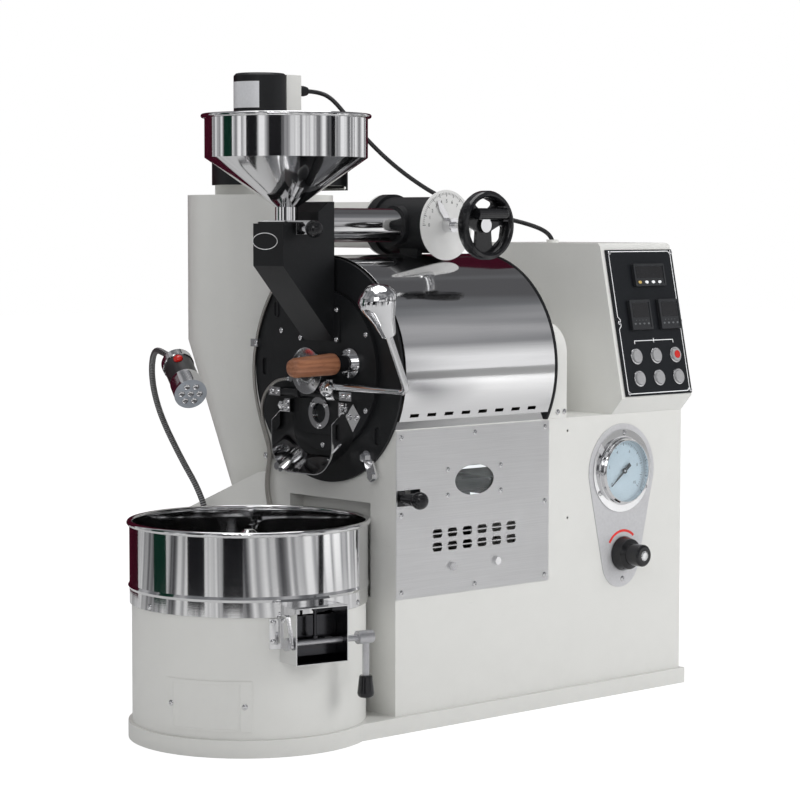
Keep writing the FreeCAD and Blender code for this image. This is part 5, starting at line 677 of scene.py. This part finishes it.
film = printed_film()
dress("control_panel", [film], 0.5)
display_case = moulded("display_case", (0.014, 0.015, 0.017), 0.3)
dress("display_units", [display_case], 0.5)
button_face = brushed("button_face", (0.62, 0.62, 0.63), 0.3, (260.0, 260.0, 260.0), metallic=0.6)
red_lens = moulded("red_lens", (0.42, 0.012, 0.008), 0.2)
for number in range(1, 7):
    dress("push_button_%d" % number, [button_face], 0.4)
dress("lamp_button", [red_lens], 0.5)



panel_lip_y, panel_lip_z, panel_lean = -170.3, 471.9, 78.23


def above_panel(height):
    """The panel's own plane, `height` mm out from the film's back: x along it, y up the slope."""
    sloped = on_face(0.0, panel_lip_y, panel_lip_z, panel_lean)
    return sloped @ Matrix.Translation((0.0, 0.0, height * mm))


def closed_line(form, points, width):
    for start, end in zip(points, points[1:] + points[:1]):
        stroke(form, start, end, width)


white_ink = moulded("white_ink", (0.66, 0.67, 0.68), 0.4)
left, right, low, high, middle, notch = 627.5, 772.0, 7.0, 235.0, 120.5, 5.0
border = [(left + notch, low), (right - notch, low), (right, low + notch)]
border += [(right, middle - 2 * notch), (right - notch, middle - notch), (right - notch, middle + notch)]
border += [(right, middle + 2 * notch), (right, high - notch), (right - notch, high), (left + notch, high)]
border += [(left, high - notch), (left, middle + 2 * notch), (left + notch, middle + notch)]
border += [(left + notch, middle - notch), (left, middle - 2 * notch), (left, low + notch)]
lines = bmesh.new()
closed_line(lines, border, 1.3)
bracket, bracket_start, bracket_end = 91.0, 657.5, 749.0
stroke(lines, (bracket_start, bracket), (bracket_end, bracket), 1.2)
for x, down, up in ((bracket_start + 0.5, 5.0, 0.0), (703.0, 3.5, 3.5), (bracket_end - 0.5, 5.0, 0.0)):
    stroke(lines, (x, bracket - down), (x, bracket + up), 1.2)
settle("panel_lines", lines, above_panel(3.0), white_ink)

button_lens = bmesh.new()
patch(button_lens, oval(749.0, 66.0, 6.4, 6.4), 0.6)
settle("light_button_lens", button_lens, above_panel(8.0), red_lens,
       frame["nodes"]["push_button_3"]["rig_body"])

display_front = above_panel(7.75)
controllers = (653.3, 721.8)
screens = bmesh.new()
patch(screens, ((680.0, 191.0), (742.0, 191.0), (742.0, 209.5), (680.0, 209.5)), 0.3)
for x in controllers:
    patch(screens, ((x + 6.0, 128.0), (x + 42.0, 128.0), (x + 42.0, 151.0), (x + 6.0, 151.0)), 0.3)
settle("display_screens", screens, display_front, black_gloss)
key_row = 184.3
keys = bmesh.new()
for x in (701.7, 717.2, 732.3):
    patch(keys, oval(x, key_row, 3.8, 2.4), 0.8)
settle("timer_keys", keys, display_front, white_ink)
set_key = bmesh.new()
patch(set_key, oval(685.9, key_row, 3.8, 2.4), 0.8)
settle("timer_set_key", set_key, display_front, moulded("ochre_key", (0.42, 0.30, 0.10), 0.4))
marks = bmesh.new()
for x in controllers:
    for i in range(4):
        patch(marks, oval(x + 11.5 + 7.5 * i, 123.2, 0.7, 0.7, 8))
        patch(marks, oval(x + 8.0 + 10.3 * i, 117.6, 2.2, 1.5, 12), 0.5)
key_grey = moulded("key_grey", (0.10, 0.105, 0.11), 0.45)
settle("controller_keys", marks, display_front, key_grey)

# ------------------------------------------------------------------ Oval line on the feed chute
# A thin white line, printed on the chute's front face.  Nothing stands inside it.

chute_oval = bmesh.new()
closed_line(chute_oval, oval(0.0, 0.0, 28.4, 12.0, 48), 0.9)
facing_tray = Matrix.Rotation(math.radians(-90), 4, "Z") @ Matrix.Rotation(math.radians(90), 4, "X")
settle("chute_oval", chute_oval, Matrix.Translation(Vector((44.0, 15.1, 721.1)) * mm) @ facing_tray,
       white_ink)

# ------------------------------------------------------------------ Damper dial and pressure gauge
# The damper's disc is white enamel, printed black with plain numbers 0 to 10 round its upper half.
# The gauge's dial is bluish white, printed grey, under glass.  A red sweep marks the regulator.

def printed_white(name, tone):
    made, shader, wire = finish(name)
    place = coords(wire)
    fine = noise(wire, place, 60.0, 4.0)
    feed(shader, "Base Color", tint(wire, fine, tone, [v * 0.9 for v in tone]))
    feed(shader, "Roughness", 0.35 + fine * 0.15)
    return made


dial_white = printed_white("dial_white", (0.86, 0.86, 0.85))
dress("dial_plate", [dial_white], 0.3)
needle_black = moulded("needle_black", (0.01, 0.01, 0.012), 0.4)
dress("gauge_needle", [needle_black], 0.0)


def scale(form, radius, start, sweep, count, major, long, short):
    """Radial marks; every `major`-th one is long.  Degrees run clockwise from the top."""
    for i in range(count + 1):
        turn = math.radians(start + sweep * i / count)
        out = Vector((math.sin(turn), math.cos(turn)))
        reach = long if i % major == 0 else short
        stroke(form, out * radius, out * (radius - reach), 1.0 if i % major == 0 else 0.6)


def figures(form, radius, start, sweep, numbers, size):
    for i, number in enumerate(numbers):
        turn = math.radians(start + sweep * i / (len(numbers) - 1))
        figure(form, str(number), size, radius * math.sin(turn), radius * math.cos(turn))


damper_scale = bmesh.new()
scale(damper_scale, 49.5, -90.0, 180.0, 50, 5, 6.0, 3.5)
figures(damper_scale, 36.5, -90.0, 180.0, range(11), 5.2)
settle("damper_scale", damper_scale, on_face(damper_x, -60.0, damper_z), needle_black)

dial_front = -152.2
dial_face = bmesh.new()
patch(dial_face, oval(0.0, 0.0, 48.3, 48.3, 96), 0.1)
dial_blue_white = printed_white("dial_blue_white", (0.70, 0.79, 0.85))
settle("gauge_dial", dial_face, on_face(gauge_x, dial_front, gauge_z), dial_blue_white)
gauge_scale = bmesh.new()
scale(gauge_scale, 44.5, -128.0, 256.0, 50, 5, 5.0, 2.8)
figures(gauge_scale, 33.0, -128.0, 256.0, range(0, 11, 2), 5.0)
scale_grey = moulded("scale_grey", (0.09, 0.10, 0.12), 0.4)
settle("gauge_scale", gauge_scale, on_face(gauge_x, dial_front - 0.05, gauge_z), scale_grey)

sweep_outer, sweep_inner = 38.6, 34.6
arc = [math.radians(degrees) for degrees in range(48, 149, 4)]
sweep = bmesh.new()
patch(sweep, [(sweep_outer * math.cos(t), sweep_outer * math.sin(t)) for t in arc]
      + [(sweep_inner * math.cos(t), sweep_inner * math.sin(t)) for t in reversed(arc)])
red_ink = moulded("red_ink", (0.55, 0.02, 0.015), 0.4)
settle("regulator_sweep", sweep, on_face(regulator_x, -149.2, 224.0), red_ink)


def clear_glass():
    """Pane that is seen through, and mirrors more towards grazing view; it has a few smears."""
    made, shader, wire = finish("clear_glass", metallic=1.0)
    smear = noise(wire, coords(wire), 40.0, 4.0)
    feed(shader, "Base Color", tint(wire, smear, (0.85, 0.9, 0.92), (0.98, 1.0, 1.0)))
    feed(shader, "Roughness", smear * 0.06)
    clear = wire.node("BsdfTransparent", {}, {"Color": (0.95, 0.97, 0.98, 1.0)})
    grazing = wire.node("LayerWeight", {}, {"Blend": 0.5}, "Facing").math("POWER", 5.0)
    share = grazing * 0.9 + smear * 0.05 + 0.02
    both = wire.node("MixShader", {}, {0: share, 1: clear, 2: Wire(wire.tree, shader.outputs["BSDF"])})
    wire.tree.links.new(both.socket, wire.tree.nodes["Material Output"].inputs["Surface"])
    return made


glass = clear_glass()
for node in ("sight_glass", "glass_panes"):
    dress(node, [glass], 0.2)

# ------------------------------------------------------------------ Work lamp
# A small lamp on a sprung steel gooseneck that stands on a magnet foot: chromed cap and bezel,
# black ribbed barrel, and a pale disc with a ring of small lenses behind the bezel.

lamp_cap, lamp_aim = Vector((0.0, 172.0, 538.0)), Vector((-0.356, -0.845, -0.472)).normalized()
lamp_length, lens_ring = 92.0, 13.5
barrel_start, barrel_end = 14.0, 58.0
plate_front, lens_plate_radius = 91.6, 21.0
foot_start, foot_top = 133.0, 275.5


def lamp_zone(at):
    """Number of the finish at a point of the lamp; the neck's own faces go."""
    along = (at - lamp_cap).dot(lamp_aim)
    off = (at - lamp_cap - lamp_aim * along).length
    if -9.0 < along < lamp_length + 3.0 and off < 27.0:
        on_lenses = along > plate_front and off < lens_plate_radius
        return 2 if on_lenses else int(barrel_start < along < barrel_end)
    return 0 if at.x > foot_start and at.z < foot_top else None


def coiled_steel(turns, tone):
    """Neck wound of steel strip: fine ribs go round it all along its length, and the grooves between them
    are darkened as painted shade.
    """
    made, shader, wire = finish("coiled_steel", metallic=1.0)
    run = wire.node("SeparateXYZ", {}, {"Vector": coords(wire, "UV")}, 0)
    rib = (run * (2 * math.pi * turns)).math("SINE") * 0.5 + 0.5
    # Painted shade: the colour falls to near black in the grooves between the ribs.
    feed(shader, "Base Color", tint(wire, rib, [v * 0.12 for v in tone], tone))
    feed(shader, "Roughness", 0.42 - rib * 0.14)
    relief(shader, wire, rib, 0.0006)
    return made


black_barrel = moulded("black_barrel", (0.012, 0.012, 0.013), 0.35)
lens_plate = moulded("lens_plate", (0.26, 0.28, 0.31), 0.2)
dress("work_lamp", [chrome, black_barrel, lens_plate], 0.4, lamp_zone)
neck_route = ((150, 296, 262), (150, 295, 290), (138, 303, 330), (118, 309, 366), (100, 312, 399),
              (82, 313, 432), (64, 308, 465), (48, 298, 498), (33, 280, 530), (17, 250, 554),
              (6, 214, 552), tuple(lamp_cap - lamp_aim * 6.0))
tube("lamp_neck", neck_route, 9.6, coiled_steel(112.0, (0.42, 0.42, 0.43)))
lenses = bmesh.new()
for i in range(7):
    turn = math.radians(60 * i)
    reach = lens_ring if i else 0.0
    spot = Matrix.Translation(Vector((reach * math.cos(turn), reach * math.sin(turn), 0.0)) * mm)
    bmesh.ops.create_uvsphere(lenses, u_segments=20, v_segments=10, radius=5.0 * mm,
                              matrix=spot @ Matrix.Diagonal((1.0, 1.0, 0.35, 1.0)))
facing = lamp_aim.to_track_quat("Z", "Y").to_matrix().to_4x4()
lamp_front = Matrix.Translation((lamp_cap + lamp_aim * lamp_length) * mm) @ facing
for face in settle("lamp_lenses", lenses, lamp_front, chrome).data.polygons:
    face.use_smooth = True
